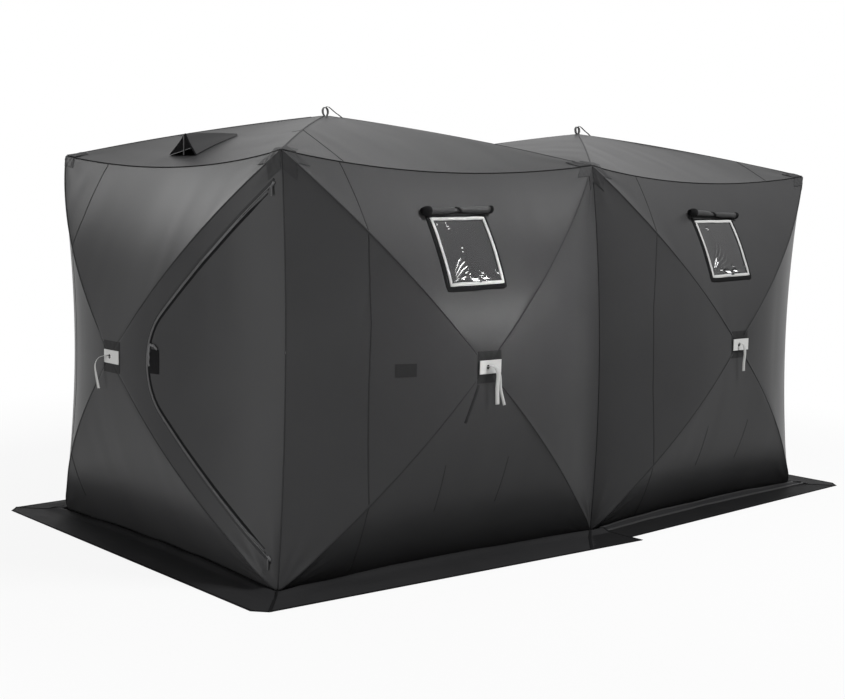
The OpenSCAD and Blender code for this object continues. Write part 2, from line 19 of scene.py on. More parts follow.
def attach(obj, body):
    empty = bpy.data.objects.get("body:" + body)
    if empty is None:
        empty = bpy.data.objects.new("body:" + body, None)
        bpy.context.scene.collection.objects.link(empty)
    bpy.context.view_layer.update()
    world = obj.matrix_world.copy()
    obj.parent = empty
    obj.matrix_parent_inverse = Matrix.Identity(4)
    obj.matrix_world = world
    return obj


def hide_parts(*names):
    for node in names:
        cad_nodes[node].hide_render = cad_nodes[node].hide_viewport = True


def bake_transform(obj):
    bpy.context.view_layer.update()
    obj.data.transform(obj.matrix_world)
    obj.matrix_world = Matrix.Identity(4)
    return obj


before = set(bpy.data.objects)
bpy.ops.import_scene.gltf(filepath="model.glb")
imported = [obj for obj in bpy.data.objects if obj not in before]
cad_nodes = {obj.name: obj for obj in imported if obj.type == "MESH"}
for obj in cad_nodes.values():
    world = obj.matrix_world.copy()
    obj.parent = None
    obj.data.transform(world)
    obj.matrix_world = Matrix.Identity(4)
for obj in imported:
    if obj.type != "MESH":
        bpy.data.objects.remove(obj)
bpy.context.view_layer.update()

SHELTER = "shelter"
DOOR = "door"


def add_object(name, data):
    item = bpy.data.objects.new(name, data)
    bpy.context.scene.collection.objects.link(item)
    return item


# %% [markdown]
# ## Camera
# A camera that stands where the photographer stood lets every later step be compared with the photo. Its
# place and turn were worked out from the shelter's corners. A Blender camera looks along its own -Z, so
# the matrix is written from the right, up and backward directions.

# %% Stand the camera
PHOTO_WIDTH_PX = 845
FOCAL_PX = 1346.4
SENSOR_MM = 36.0
eye = Vector((-4.888, -5.236, 1.566))
yaw, pitch, roll = (math.radians(angle) for angle in (41.559, -6.156, 1.191))
forward = Vector((math.cos(pitch) * math.sin(yaw), math.cos(pitch) * math.cos(yaw), math.sin(pitch)))
level_right = Vector((math.cos(yaw), -math.sin(yaw), 0.0))
level_up = level_right.cross(forward)
right = math.cos(roll) * level_right + math.sin(roll) * level_up
above = math.cos(roll) * level_up - math.sin(roll) * level_right
camera_data = bpy.data.cameras.new("photo_camera")
camera_data.sensor_fit = "HORIZONTAL"
camera_data.sensor_width = SENSOR_MM
camera_data.lens = SENSOR_MM * FOCAL_PX / PHOTO_WIDTH_PX
camera_data.clip_end = 200.0
camera = add_object("photo_camera", camera_data)
camera.matrix_world = Matrix.Translation(eye) @ Matrix((right, above, -forward)).transposed().to_4x4()
bpy.context.scene.camera = camera
print("lens", round(camera_data.lens, 2), "mm")

# %% [markdown]
# ## The shape of the cloth
# Every wall and roof is four sewn panels between bowed poles. A pole is an arc from the hub to a corner,
# and the panel between two poles is drawn from one arc to the next, pulled in along its free edge. The
# formulas repeat the CAD's, in metres, so cloth made from them lies exactly on the measured solids.

# %% Describe the faces
HALF, HALF_H = 0.9, 0.8825
CORNER_H = 2 * HALF_H
CLOTH_T = 0.002
MID_TOP, MID_FOOT = 0.01, 0.075
EAVE_DROP, EAVE_IN = -0.06, 0.04
WALL_PUSH_BOW, ROOF_PUSH_BOW = (0.25, 0.07), (0.215, 0.015)
Face = namedtuple("Face", "name origin turn push bow corners bows")


def make_face(name, origin, turn, push_bow, corners, bows):
    return Face(name, np.array(origin), turn, *push_bow, np.array(corners), np.array(bows))


def wall_corners(left_foot, right_foot, right_top, left_top):
    """The four corners of a wall, each standing out by its own amount."""
    spots = ((-HALF, -HALF_H), (HALF, -HALF_H), (HALF, HALF_H), (-HALF, HALF_H))
    return [(*spot, out) for spot, out in zip(spots, (left_foot, right_foot, right_top, left_top))]


foot_bow, eave_bow = (0, 0, -0.045), (0, EAVE_DROP, -EAVE_IN)
between_bow, valley_bow = (0, 0, 0.054), (0, 0, 0.04)
outer_wall = (wall_corners(0, MID_FOOT, MID_TOP, 0), (foot_bow, between_bow, eave_bow, (0.05, 0, -0.03)))
inner_wall = (wall_corners(MID_FOOT, 0, 0, MID_TOP), (foot_bow, (-0.05, 0, -0.03), eave_bow, between_bow))
end_wall = (wall_corners(0, 0, 0, 0), (foot_bow, (-0.03, 0, -0.05), eave_bow, (0.03, 0, -0.05)))
front_left = make_face("front_left", (-HALF, -HALF, HALF_H), 0, WALL_PUSH_BOW, *outer_wall)
front_right = make_face("front_right", (HALF, -HALF, HALF_H), 0, WALL_PUSH_BOW, *inner_wall)
back_right = make_face("back_right", (HALF, HALF, HALF_H), 180, WALL_PUSH_BOW, *outer_wall)
back_left = make_face("back_left", (-HALF, HALF, HALF_H), 180, WALL_PUSH_BOW, *inner_wall)
left_end = make_face("left_end", (-2 * HALF, 0, HALF_H), -90, WALL_PUSH_BOW, *end_wall)
right_end = make_face("right_end", (2 * HALF, 0, HALF_H), 90, WALL_PUSH_BOW, *end_wall)
MID_D = HALF + MID_TOP
front_eave, back_eave = (0, EAVE_IN, EAVE_DROP), (0, -EAVE_IN, EAVE_DROP)
left_roof = make_face(
    "left_roof", (-HALF, 0, CORNER_H), None, ROOF_PUSH_BOW,
    ((-HALF, -HALF, 0), (HALF, -MID_D, 0), (HALF, MID_D, 0), (-HALF, HALF, 0)),
    (front_eave, valley_bow, back_eave, (EAVE_IN, 0, EAVE_DROP)),
)
right_roof = make_face(
    "right_roof", (HALF, 0, CORNER_H), None, ROOF_PUSH_BOW,
    ((-HALF, -MID_D, 0), (HALF, -HALF, 0), (HALF, HALF, 0), (-HALF, MID_D, 0)),
    (front_eave, (-EAVE_IN, 0, EAVE_DROP), back_eave, valley_bow),
)
outer_walls, inner_walls, ends = (front_left, back_right), (front_right, back_left), (left_end, right_end)
long_walls = (front_left, front_right, back_right, back_left)
walls = long_walls + ends
roofs = (left_roof, right_roof)
print(len(walls), "walls and", len(roofs), "roofs")

# %% Formulas of a face


def directions(face):
    """World directions along the face, up the face and out of it."""
    if face.turn is None:
        return np.eye(3)
    a = math.radians(face.turn)
    return np.array([(math.cos(a), math.sin(a), 0), (0, 0, 1), (math.sin(a), -math.cos(a), 0)])


def place(face, points):
    return face.origin + np.asarray(points) @ directions(face)


def pole_w(face, i, s):
    """Height of the cloth over pole i, at share s from the hub to the corner."""
    corner = face.corners[i % 4]
    run, drop = math.hypot(corner[0], corner[1]), face.push - corner[2]
    chord = math.hypot(run, drop)
    radius = (chord**2 / 4 + face.bow**2) / (2 * face.bow)
    back = (radius - face.bow) / chord
    lift = (face.push + corner[2]) / 2 - run * back
    return lift + np.sqrt(radius**2 - (s * run - run / 2 + drop * back) ** 2)


def edge_point(face, i, t):
    t = np.asarray(t, float)[..., None]
    first, last = face.corners[i % 4], face.corners[(i + 1) % 4]
    return first + (last - first) * t + 4 * t * (1 - t) * face.bows[i % 4]


def panel_w(face, i, s, t):
    sag = 4 * t * (1 - t) * face.bows[i][2] * s * s
    return (1 - t) * pole_w(face, i, s) + t * pole_w(face, i + 1, s) + sag


def cross2(a, b):
    return a[..., 0] * b[..., 1] - a[..., 1] * b[..., 0]


def shares(face, uv):
    """Panel, share out from the hub and share along the edge of places on a face."""
    uv = np.asarray(uv, float)
    panel = np.full(uv.shape[:-1], -1)
    s, t = np.zeros(uv.shape[:-1]), np.zeros(uv.shape[:-1])
    for i in range(4):
        first, last = face.corners[i][:2], face.corners[(i + 1) % 4][:2]
        here = (panel < 0) & (cross2(first, uv) >= -1e-9) & (cross2(uv, last) >= -1e-9)
        c = cross2(uv, first)
        k = 4 * cross2(uv, face.bows[i][:2])
        m = cross2(uv, last - first) + k
        share = np.clip(-2 * c / (m + np.sqrt(np.maximum(0, m * m + 4 * k * c)) + 1e-12), 0, 1)
        edge = edge_point(face, i, share)
        reach = np.hypot(uv[..., 0], uv[..., 1]) / np.hypot(edge[..., 0], edge[..., 1])
        panel[here], s[here], t[here] = i, reach[here], share[here]
    return panel, s, t


# %% [markdown]
# ## Slack in the cloth
# Stretched cloth is never quite flat. Broad soft billows, upright streaks and small tension folds at the
# corners catch the light. They are a few millimetres deep, die out at the poles and edges, and come from
# a fixed table of numbers, so each run gives the same cloth.

# %% Billows and tension folds
BILLOW, STREAK, FOOT_PULL, TOP_PULL, POLE_RIDGE = 0.0042, 0.0010, 0.08, 0.018, 0.008
BILLOW_GAP, STREAK_GAP = (0.34, 0.62), (0.07, 0.5)
POLE_RIDGE_W, POLE_RIDGE_AT = 0.016, 0.10
FOLD_TURNS = (0.22, 0.52, 1.02, 1.36)
FOLD_WIDTH, FOLD_SPREAD, FOLD_REACH, TOP_FOLDS = 0.10, 0.06, 0.17, 13
TABLE_ROWS, TABLE_COLS = 31, 37


def ripple(seed, a, b):
    """Smooth noise between -1 and 1, one lump to a unit."""
    table = np.random.RandomState(seed).uniform(-1, 1, (TABLE_ROWS, TABLE_COLS))
    ia, ib = np.floor(a).astype(int), np.floor(b).astype(int)
    fa, fb = a - ia, b - ib
    fa, fb = fa * fa * (3 - 2 * fa), fb * fb * (3 - 2 * fb)
    a0, a1, b0, b1 = ia % TABLE_ROWS, (ia + 1) % TABLE_ROWS, ib % TABLE_COLS, (ib + 1) % TABLE_COLS
    low = table[a0, b0] * (1 - fa) + table[a1, b0] * fa
    high = table[a0, b1] * (1 - fa) + table[a1, b1] * fa
    return low * (1 - fb) + high * fb


def bump_at(x, middle, width):
    """A smooth bump of height 1."""
    return np.exp(-(((x - middle) / width) ** 2))


def slack(face, uv, s, t):
    """How far the cloth lies above the smooth panels."""
    seed = sum(map(ord, face.name))
    u, v = uv[..., 0], uv[..., 1]
    off_poles = 1 - (1 - 4 * t * (1 - t)) ** 8
    inside = 1 - np.clip(s, 0, 1) ** 16
    billows = BILLOW * ripple(seed, u / BILLOW_GAP[0] + 9, v / BILLOW_GAP[1] + 9)
    streaks = STREAK * ripple(seed + 1, u / STREAK_GAP[0] + 5, v / STREAK_GAP[1] + 5)
    total = (billows + streaks) * off_poles * inside
    for k, corner in enumerate(face.corners):
        du, dv = u - corner[0], v - corner[1]
        far = np.hypot(du, dv)
        near = far * bump_at(far, 0, FOLD_REACH)
        if k < 2 and face.turn is not None:
            turn = np.arctan2(np.abs(dv), np.abs(du))
            middles = [at + FOLD_SPREAD * math.sin(seed + 7 * at + k) for at in FOLD_TURNS]
            fan = sum(bump_at(turn, middle, FOLD_WIDTH) for middle in middles)
            off_pole = np.abs(cross2(uv, corner[:2])) / math.hypot(corner[0], corner[1])
            on_pole = bump_at(off_pole, 0, POLE_RIDGE_W) * bump_at(far, POLE_RIDGE_AT, POLE_RIDGE_AT)
            folds = FOOT_PULL * near * fan + POLE_RIDGE * on_pole
        else:
            folds = TOP_PULL * near * np.sin(TOP_FOLDS * np.arctan2(dv, du) + seed + k)
        total = total + folds * (1 - np.clip(s, 0, 1) ** 60)
    return total


def cloth_w(face, uv):
    """Outside of the cloth at places on a face."""
    uv = np.asarray(uv, float)
    panel, s, t = shares(face, uv)
    w = np.zeros(panel.shape)
    for i in range(4):
        here = panel == i
        w[here] = panel_w(face, i, np.clip(s[here], 0, 1), t[here])
    return w + slack(face, uv, s, t) + CLOTH_T


def on_cloth(face, uv, lift=0.0):
    """World places and outward directions on the cloth, at places on a face."""
    uv = np.asarray(uv, float)
    step = 0.004
    w = cloth_w(face, uv)
    du = (cloth_w(face, uv + (step, 0)) - cloth_w(face, uv - (step, 0))) / (2 * step)
    dv = (cloth_w(face, uv + (0, step)) - cloth_w(face, uv - (0, step))) / (2 * step)
    out = np.stack([-du, -dv, np.ones_like(w)], -1)
    out /= np.linalg.norm(out, axis=-1, keepdims=True)
    points = np.concatenate([uv, w[..., None]], -1) + out * lift
    return place(face, points), out @ directions(face)


# %% [markdown]
# ## Finishes
# The shelter has few materials: coated cloth in several greys, clear film, pale webbing and hook-and-loop
# tape, and moulded plastic. The woven look is one node group, built once. It reads a UV map that is laid
# out in metres, so the threads keep their real size on every piece.

# %% Node helpers


def add_node(tree, kind, inputs=None, **settings):
    """A node with its settings; each input takes a value or the socket that feeds it."""
    node = tree.nodes.new(kind)
    for name, value in settings.items():
        setattr(node, name, value)
    for name, value in (inputs or {}).items():
        if isinstance(value, bpy.types.NodeSocket):
            tree.links.new(value, node.inputs[name])
        else:
            node.inputs[name].default_value = value
    return node


def add_math(tree, operation, *values):
    """The result of a Math node on values and sockets."""
    return add_node(tree, "ShaderNodeMath", dict(enumerate(values)), operation=operation).outputs[0]


def add_noise(tree, place_at, scale, detail):
    inputs = {"Vector": place_at, "Scale": scale, "Detail": detail}
    return add_node(tree, "ShaderNodeTexNoise", inputs).outputs["Fac"]


def new_group(name, inputs, outputs):
    """A node group with number sockets, and what its inputs give."""
    group = bpy.data.node_groups.new(name, "ShaderNodeTree")
    for label, value in inputs.items():
        socket = group.interface.new_socket(label, in_out="INPUT", socket_type="NodeSocketFloat")
        socket.default_value = value
    for label in outputs:
        group.interface.new_socket(label, in_out="OUTPUT", socket_type="NodeSocketFloat")
    return group, group.nodes.new("NodeGroupInput").outputs


# %% Weave group
weave_inputs = {"Threads per metre": 900.0, "Crumple": 0.35}
weave_group, weave_in = new_group("woven_threads", weave_inputs, ("Height", "Shade"))
cloth_uv = add_node(weave_group, "ShaderNodeUVMap", uv_map="cloth_m").outputs["UV"]
scaled = add_node(weave_group, "ShaderNodeVectorMath", {0: cloth_uv, "Scale": weave_in["Threads per metre"]},
                  operation="SCALE")
checks = add_node(weave_group, "ShaderNodeTexChecker", {"Vector": scaled.outputs[0], "Scale": 1.0})
crossed = checks.outputs["Fac"]
crumpled = add_math(weave_group, "MULTIPLY", add_noise(weave_group, cloth_uv, 46.0, 5.0), weave_in["Crumple"])
add_node(weave_group, "NodeGroupOutput", {
    "Height": add_math(weave_group, "MULTIPLY_ADD", crossed, 0.06, crumpled),
    "Shade": add_math(weave_group, "MULTIPLY_ADD", crossed, 0.18, add_noise(weave_group, cloth_uv, 2.6, 4.0)),
})
print("group", weave_group.name)

# %% Cloth, tape and webbing


def patterned_material(name, pattern, mask, rough, relief, plain, tones=None):
    """A material whose tone and roughness follow a group's mask; tones are (red and green, blue) pairs."""
    group, group_values = pattern
    material = bpy.data.materials.new(name)
    material.use_nodes = True
    tree = material.node_tree
    shader = tree.nodes["Principled BSDF"]
    made = add_node(tree, "ShaderNodeGroup", group_values, node_tree=group).outputs
    worn = add_node(tree, "ShaderNodeMapRange", {"Value": made[mask], "To Min": rough[0], "To Max": rough[1]})
    tree.links.new(worn.outputs["Result"], shader.inputs["Roughness"])
    raised = {"Height": made["Height"], "Strength": relief[0], "Distance": relief[1]}
    tree.links.new(add_node(tree, "ShaderNodeBump", raised).outputs["Normal"], shader.inputs["Normal"])
    if tones:
        dark, pale = ((grey, grey, blue, 1.0) for grey, blue in tones)
        mix = add_node(tree, "ShaderNodeMix", {"Factor": made[mask], "A": dark, "B": pale}, data_type="RGBA")
        tree.links.new(mix.outputs["Result"], shader.inputs["Base Color"])
    for socket, value in plain.items():
        shader.inputs[socket].default_value = value
    return material


def woven(name, dark, pale, rough, threads=900.0, crumple=0.35, depth=0.0006, gloss=0.3):
    pattern = (weave_group, {"Threads per metre": threads, "Crumple": crumple})
    plain = {"Specular IOR Level": gloss}
    return patterned_material(name, pattern, "Shade", rough, (0.5, depth), plain, (dark, pale))


shell_cloth = woven("shell_cloth", (0.036, 0.037), (0.048, 0.049), (0.32, 0.42), gloss=0.08)
skirt_cloth = woven("skirt_cloth", (0.020, 0.021), (0.030, 0.031), (0.55, 0.7), gloss=0.04)
cover_cloth = woven("cover_cloth", (0.009, 0.0095), (0.015, 0.0155), (0.55, 0.7), gloss=0.04)
patch_cloth = woven("patch_cloth", (0.030, 0.031), (0.041, 0.042), (0.4, 0.52), gloss=0.06)
hub_cloth = woven("hub_cloth", (0.020, 0.0205), (0.029, 0.0295), (0.45, 0.6), gloss=0.05)
binding_tape = woven("binding_tape", (0.008, 0.0085), (0.014, 0.0145), (0.6, 0.75), 600.0, gloss=0.02)
zip_tape = woven("zip_tape", (0.10, 0.101), (0.16, 0.162), (0.5, 0.65), 700.0, gloss=0.1)
net_cloth = woven("net_cloth", (0.003, 0.003), (0.006, 0.006), (0.8, 0.9), 500.0, gloss=0.0)
seam_cloth = woven("seam_cloth", (0.023, 0.0235), (0.032, 0.033), (0.45, 0.6), gloss=0.05)
roll_cloth = woven("roll_cloth", (0.034, 0.035), (0.048, 0.049), (0.34, 0.44), gloss=0.12)
pole_seam_cloth = woven("pole_seam_cloth", (0.026, 0.027), (0.036, 0.037), (0.4, 0.5), gloss=0.06)
hook_loop = woven("hook_loop", (0.44, 0.435), (0.60, 0.59), (0.75, 0.9), 420.0, 0.9, 0.0014, 0.2)
pale_webbing = woven("pale_webbing", (0.40, 0.39), (0.56, 0.55), (0.6, 0.75), 380.0, 0.3, 0.001)
grey_webbing = woven("grey_webbing", (0.10, 0.10), (0.2, 0.2), (0.6, 0.75), 380.0, 0.3, 0.001)
print("woven materials made")

# %% [markdown]
# ## Moulded plastic, zip metal and clear film
# Plastic parts carry a faint grain. It is a noise on Object coordinates, since the CAD solids have no UV
# map. The film is a thin transparent sheet: its gloss comes from the shader and its creases are real
# folds. Its dark grey base colour, with only half the light let through, is painted shade that stands
# for the dark inside of the shelter seen through the clear film.

# %% Grain group, plastics and film
grain_group, grain_in = new_group("moulded_grain", {"Size": 900.0}, ("Height", "Mottle"))
solid_place = add_node(grain_group, "ShaderNodeTexCoord").outputs["Object"]
add_node(grain_group, "NodeGroupOutput", {
    "Height": add_noise(grain_group, solid_place, grain_in["Size"], 3.0),
    "Mottle": add_noise(grain_group, solid_place, 14.0, 4.0),
})


def moulded(name, dark, pale, rough, grain=900.0, depth=0.0002, metallic=0.0):
    pattern = (grain_group, {"Size": grain})
    plain = {"Metallic": metallic}
    return patterned_material(name, pattern, "Mottle", rough, (0.35, depth), plain, (dark, pale))


hub_plastic = moulded("hub_plastic", (0.012, 0.013), (0.022, 0.023), (0.4, 0.55))
pole_fibre = moulded("pole_fibre", (0.02, 0.022), (0.035, 0.037), (0.3, 0.45), 1500.0)
plate_plastic = moulded("plate_plastic", (0.53, 0.52), (0.64, 0.63), (0.45, 0.6), 420.0, 0.0008)
prop_plastic = moulded("prop_plastic", (0.012, 0.0125), (0.022, 0.023), (0.4, 0.5))
zip_metal = moulded("zip_metal", (0.05, 0.052), (0.09, 0.092), (0.4, 0.55), 700.0, 0.0002, 0.25)
# The film's dark base colour and half transmission are painted shade of the shelter's dark inside.
film_painted_shade_values = {"Base Color": (0.05, 0.05, 0.052, 1.0), "Transmission Weight": 0.5, "IOR": 1.45}
clear_film = patterned_material("clear_film", (grain_group, {"Size": 60.0}), "Mottle", (0.04, 0.14),
                                (0.25, 0.0006), film_painted_shade_values)
print("plastics and film made")

# %% [markdown]
# ## Helpers for sheets, strips and rings
# Cloth is cut flat first: grids of places on a face are joined into one flat mesh, holes are cut in it,
# and only then is it lifted on to the curved surface and given its thickness. Seams, tapes and straps are
# strips with a rounded section, swept along a path. These soft pieces are made in mesh code, as a sewing
# pattern would be.

# %% Mesh helpers
CLOTH_SKIN = 0.0012
SAME_PLACE, ON_POLE = 0.00015, 2e-4
SMOOTH_ANGLE = math.radians(50)


def select_only(pieces):
    bpy.ops.object.select_all(action="DESELECT")
    bpy.context.view_layer.objects.active = pieces[0]
    for piece in pieces:
        piece.select_set(True)


def new_piece(name, points, polygons, material, uv):
    mesh = bpy.data.meshes.new(name)
    mesh.from_pydata([tuple(p) for p in points], [], [tuple(f) for f in polygons])
    layer = mesh.uv_layers.new(name="cloth_m")
    ids = np.zeros(len(mesh.loops), int)
    mesh.loops.foreach_get("vertex_index", ids)
    layer.data.foreach_set("uv", np.asarray(uv, float)[ids].ravel())
    mesh.polygons.foreach_set("use_smooth", [True] * len(mesh.polygons))
    mesh.materials.append(material)
    mesh.update()
    return add_object(name, mesh)


def thicken(piece, thickness=CLOTH_SKIN, offset=-1.0):
    solid = piece.modifiers.new("thickness", "SOLIDIFY")
    solid.thickness = thickness
    solid.offset = offset
    select_only([piece])
    bpy.ops.object.modifier_apply(modifier=solid.name)
    bpy.ops.object.shade_smooth_by_angle(angle=SMOOTH_ANGLE, keep_sharp_edges=True)
    piece.select_set(False)


def join_pieces(pieces, name):
    select_only(pieces)
    bpy.ops.object.join()
    pieces[0].name = name
    return pieces[0]


def grid_polygons(rows, cols):
    return [(r * cols + c, (r + 1) * cols + c, (r + 1) * cols + c + 1, r * cols + c + 1)
            for r in range(rows - 1) for c in range(cols - 1)]


def rectangle(low, high, cols, rows):
    a, b = np.meshgrid(np.linspace(low[0], high[0], cols), np.linspace(low[1], high[1], rows), indexing="ij")
    return np.stack([a, b], -1)


def flat_cut(grids):
    """Flat pattern from grids of places on a face; rows cross columns outwards."""
    pattern = bmesh.new()
    for grid in grids:
        verts = [pattern.verts.new((*spot, 0.0)) for spot in grid.reshape(-1, 2)]
        for polygon in grid_polygons(*grid.shape[:2]):
            pattern.faces.new([verts[k] for k in polygon])
    bmesh.ops.remove_doubles(pattern, verts=pattern.verts, dist=SAME_PLACE)
    return pattern


def hang(pattern, face, name, material, lift=0.0, extra=None):
    """Lifts a flat pattern on to a face's cloth and makes it a piece with one layer."""
    pattern.verts.ensure_lookup_table()
    uv = np.array([v.co[:2] for v in pattern.verts])
    w = cloth_w(face, uv) + lift
    if extra is not None:
        w = w + extra(uv)
    for crease in pattern.edges:
        tips = np.array([v.co[:2] for v in crease.verts])
        crease.smooth = not any((np.abs(cross2(tips, c[:2])) < ON_POLE).all() for c in face.corners)
    points = place(face, np.column_stack([uv, w]))
    layer = pattern.loops.layers.uv.new("cloth_m")
    for polygon in pattern.faces:
        polygon.smooth = True
        for loop in polygon.loops:
            loop[layer].uv = loop.vert.co[:2]
    for vert, point in zip(pattern.verts, points):
        vert.co = point
    mesh = bpy.data.meshes.new(name)
    pattern.to_mesh(mesh)
    pattern.free()
    mesh.materials.append(material)
    return add_object(name, mesh)


# %% Put pieces on their body


def put_on(piece, slot, *replaced, body=SHELTER):
    """Rides a piece on a body and hides the CAD nodes it stands for. Its slot is not used."""
    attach(piece, body)
    if replaced:
        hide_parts(*replaced)


def finish_sheet(piece, slot, held, size, *replaced, rests_on=(), body=SHELTER):
    """Thickens a sheet and puts it on its body. The cut it is given, held and size, is not used."""
    thicken(piece)
    put_on(piece, slot, *replaced, body=body)


# %% Strip helpers
FLAT_SECTION = ((-0.5, 0.0), (-0.42, 0.85), (0.0, 1.0), (0.42, 0.85), (0.5, 0.0))
UP = (0.0, 0.0, 1.0)


def unit(vectors):
    return vectors / np.linalg.norm(vectors, axis=-1, keepdims=True)


def run_along(path):
    return np.concatenate([[0.0], np.cumsum(np.linalg.norm(np.diff(path, axis=0), axis=1))])


def strip_parts(path, out, width, height, closed=False, section=FLAT_SECTION):
    """Points, polygons and UVs of a strip along a path; out says which way it faces."""
    path = np.asarray(path, float)
    out = np.broadcast_to(np.asarray(out, float), path.shape)
    way = np.roll(path, -1, axis=0) - np.roll(path, 1, axis=0) if closed else np.gradient(path, axis=0)
    across = unit(np.cross(unit(way), out))
    wide = np.broadcast_to(width, (len(path),))[:, None]
    points, uv = [], []
    for a, b in section:
        points.append(path + across * a * wide + out * b * height)
        uv.append(np.column_stack([a * wide[:, 0] + height * b, run_along(path)]))
    count, n = len(path), len(section)
    polygons = []
    for k in range(count if closed else count - 1):
        nxt = (k + 1) % count
        for j in range(n):
            polygons.append((k * n + j, nxt * n + j, nxt * n + (j + 1) % n, k * n + (j + 1) % n))
    if not closed:
        polygons.append(tuple(range(n)))
        polygons.append(tuple((count - 1) * n + j for j in reversed(range(n))))
    return np.stack(points, 1).reshape(-1, 3), polygons, np.stack(uv, 1).reshape(-1, 2)


def strips_piece(name, parts, material):
    """Several (points, polygons, uv) as one piece, with its faces turned outwards."""
    points, polygons, uv, first = [], [], [], 0
    for part_points, part_polygons, part_uv in parts:
        points.append(part_points)
        uv.append(part_uv)
        polygons.extend(tuple(i + first for i in polygon) for polygon in part_polygons)
        first += len(part_points)
    piece = new_piece(name, np.concatenate(points), polygons, material, np.concatenate(uv))
    select_only([piece])
    bpy.ops.object.mode_set(mode="EDIT")
    bpy.ops.mesh.select_all(action="SELECT")
    bpy.ops.mesh.normals_make_consistent(inside=False)
    bpy.ops.object.mode_set(mode="OBJECT")
    piece.select_set(False)
    print(name, len(piece.data.polygons), "faces")
    return piece


def cloth_strip(face, uv_path, width, height, lift=0.0, gap=0.025, taper=0.0):
    """A seam or tape on the cloth, along a line of places on a face."""
    uv_path = np.asarray(uv_path, float)
    run = run_along(uv_path)
    steps = np.linspace(0, run[-1], max(3, int(run[-1] / gap) + 1))
    uv_fine = np.column_stack([np.interp(steps, run, uv_path[:, k]) for k in (0, 1)])
    path, out = on_cloth(face, uv_fine, lift)
    if taper:
        width = width * np.clip(np.minimum(steps, run[-1] - steps) / taper, 0.35, 1)
    return strip_parts(path, out, width, height)


# %% [markdown]
# ## Wall and roof cloth
# Each wall is one sheet of four panels. The crease over every pole stays sharp, because the cloth is
# folded and sewn there. A long wall has its window hole cut with four bisecting cuts, the way a pattern
# cutter would.

# %% Window places
WINDOW_W, WINDOW_H, WINDOW_LEAN, WINDOW_TILT = 0.322, 0.287, 0.022, 0.008
WINDOW_MID = np.array([-0.035, 0.49])
NEAR_WINDOW = np.array([0.3, 0.25])


def window_place(a, b, grow=0.0):
    """A place in the window at shares from -1/2 to 1/2 of its width and height."""
    a, b = np.asarray(a, float), np.asarray(b, float)
    high = b * (WINDOW_H + 2 * grow)
    wide = a * (WINDOW_W + 2 * grow)
    leaned = wide - high * WINDOW_LEAN / WINDOW_H
    tilted = high + wide * WINDOW_TILT / WINDOW_W
    return WINDOW_MID + np.stack([leaned, tilted], -1)


def middle_of(polygon):
    return np.array(polygon.calc_center_median()[:2])


def cut_window(pattern):
    corners = window_place((-0.5, 0.5, 0.5, -0.5), (-0.5, -0.5, 0.5, 0.5))
    near = [f for f in pattern.faces if (np.abs(middle_of(f) - WINDOW_MID) < NEAR_WINDOW).all()]
    for k in range(4):
        first, last = corners[k], corners[(k + 1) % 4]
        geometry = list({g for f in near if f.is_valid for g in (f, *f.edges, *f.verts)})
        normal = (last[1] - first[1], first[0] - last[0], 0.0)
        cut = bmesh.ops.bisect_plane(pattern, geom=geometry, plane_co=(*first, 0.0), plane_no=normal)
        near = [g for g in cut["geom"] if isinstance(g, bmesh.types.BMFace)]
    along = np.roll(corners, -1, axis=0) - corners
    hole = [f for f in near if (cross2(along, middle_of(f) - corners) > 0).all()]
    bmesh.ops.delete(pattern, geom=hole, context="FACES")


# %% Cut and hang the cloth
HUB_HOLE = 0.015
OUT_STEPS, ALONG_STEPS = 36, 56
CORNER_S, CORNER_T = 0.86, 0.13
WALL_CUT, ROOF_CUT = (1.95, 1.95), (1.9, 1.9)


def panel_grid(face, i):
    """Places over one panel, closer together near the corners of a wall, where the cloth folds."""
    first = HUB_HOLE / math.hypot(*face.corners[i][:2])
    if face.turn is None:
        s, t = np.linspace(first, 1, OUT_STEPS + 1), np.linspace(0, 1, ALONG_STEPS + 1)
    else:
        s = np.concatenate([np.linspace(first, CORNER_S, 26, endpoint=False), np.linspace(CORNER_S, 1, 15)])
        t = np.concatenate([np.linspace(0, CORNER_T, 18, endpoint=False),
                            np.linspace(CORNER_T, 1 - CORNER_T, 26, endpoint=False),
                            np.linspace(1 - CORNER_T, 1, 19)])
    return s[:, None, None] * edge_point(face, i, t)[None, :, :2]


def hang_wall(wall, pattern):
    sheet = hang(pattern, wall, wall.name + "_cloth", shell_cloth)
    finish_sheet(sheet, "shell_cloth", "stretched", WALL_CUT, wall.name + "_wall",
                 rests_on=[wall.name + "_poles"])


for wall in long_walls + (right_end,):
    pattern = flat_cut([panel_grid(wall, i) for i in range(4)])
    if wall in long_walls:
        cut_window(pattern)
    hang_wall(wall, pattern)

# %% [markdown]
# ## The door end
# The door is a flap between two zips that meet in a round nose beside the hub. It folds on a line beside
# the front corner. The cloth round it is cut from the same face: a strip over each zip, a piece between
# the nose and the hub, and a narrow strip at the corner.

# %% Door outline
DOOR_FOLD, NOSE_MID, NOSE_R, DOOR_SLOPE = 0.845, 0.572, 0.3, math.radians(47)
ZIP_HALF_GAP = 0.0025
MIRROR = (1, -1)


def door_half(u, d):
    """Half height of the door's outline, moved outwards by d."""
    radius, out = NOSE_R + d, NOSE_MID - np.asarray(u, float)
    straight = radius / math.cos(DOOR_SLOPE) - out * math.tan(DOOR_SLOPE)
    round_part = np.sqrt(np.maximum(0, radius**2 - out**2))
    return np.where(out > radius * math.sin(DOOR_SLOPE), round_part, straight)


def door_line(d, first_deg, last, nose_steps=18, line_steps=34):
    """The upper half of the door's outline, from the nose to the fold."""
    radius = NOSE_R + d
    turn = np.radians(np.linspace(first_deg, 90 - math.degrees(DOOR_SLOPE), nose_steps, endpoint=False))
    start = NOSE_MID - radius * math.sin(DOOR_SLOPE)
    columns = np.concatenate([NOSE_MID - radius * np.cos(turn), np.linspace(start, last, line_steps)])
    return np.column_stack([columns, door_half(columns, d)])


def pole_line(u):
    return np.column_stack([u, u * HALF_H / HALF])


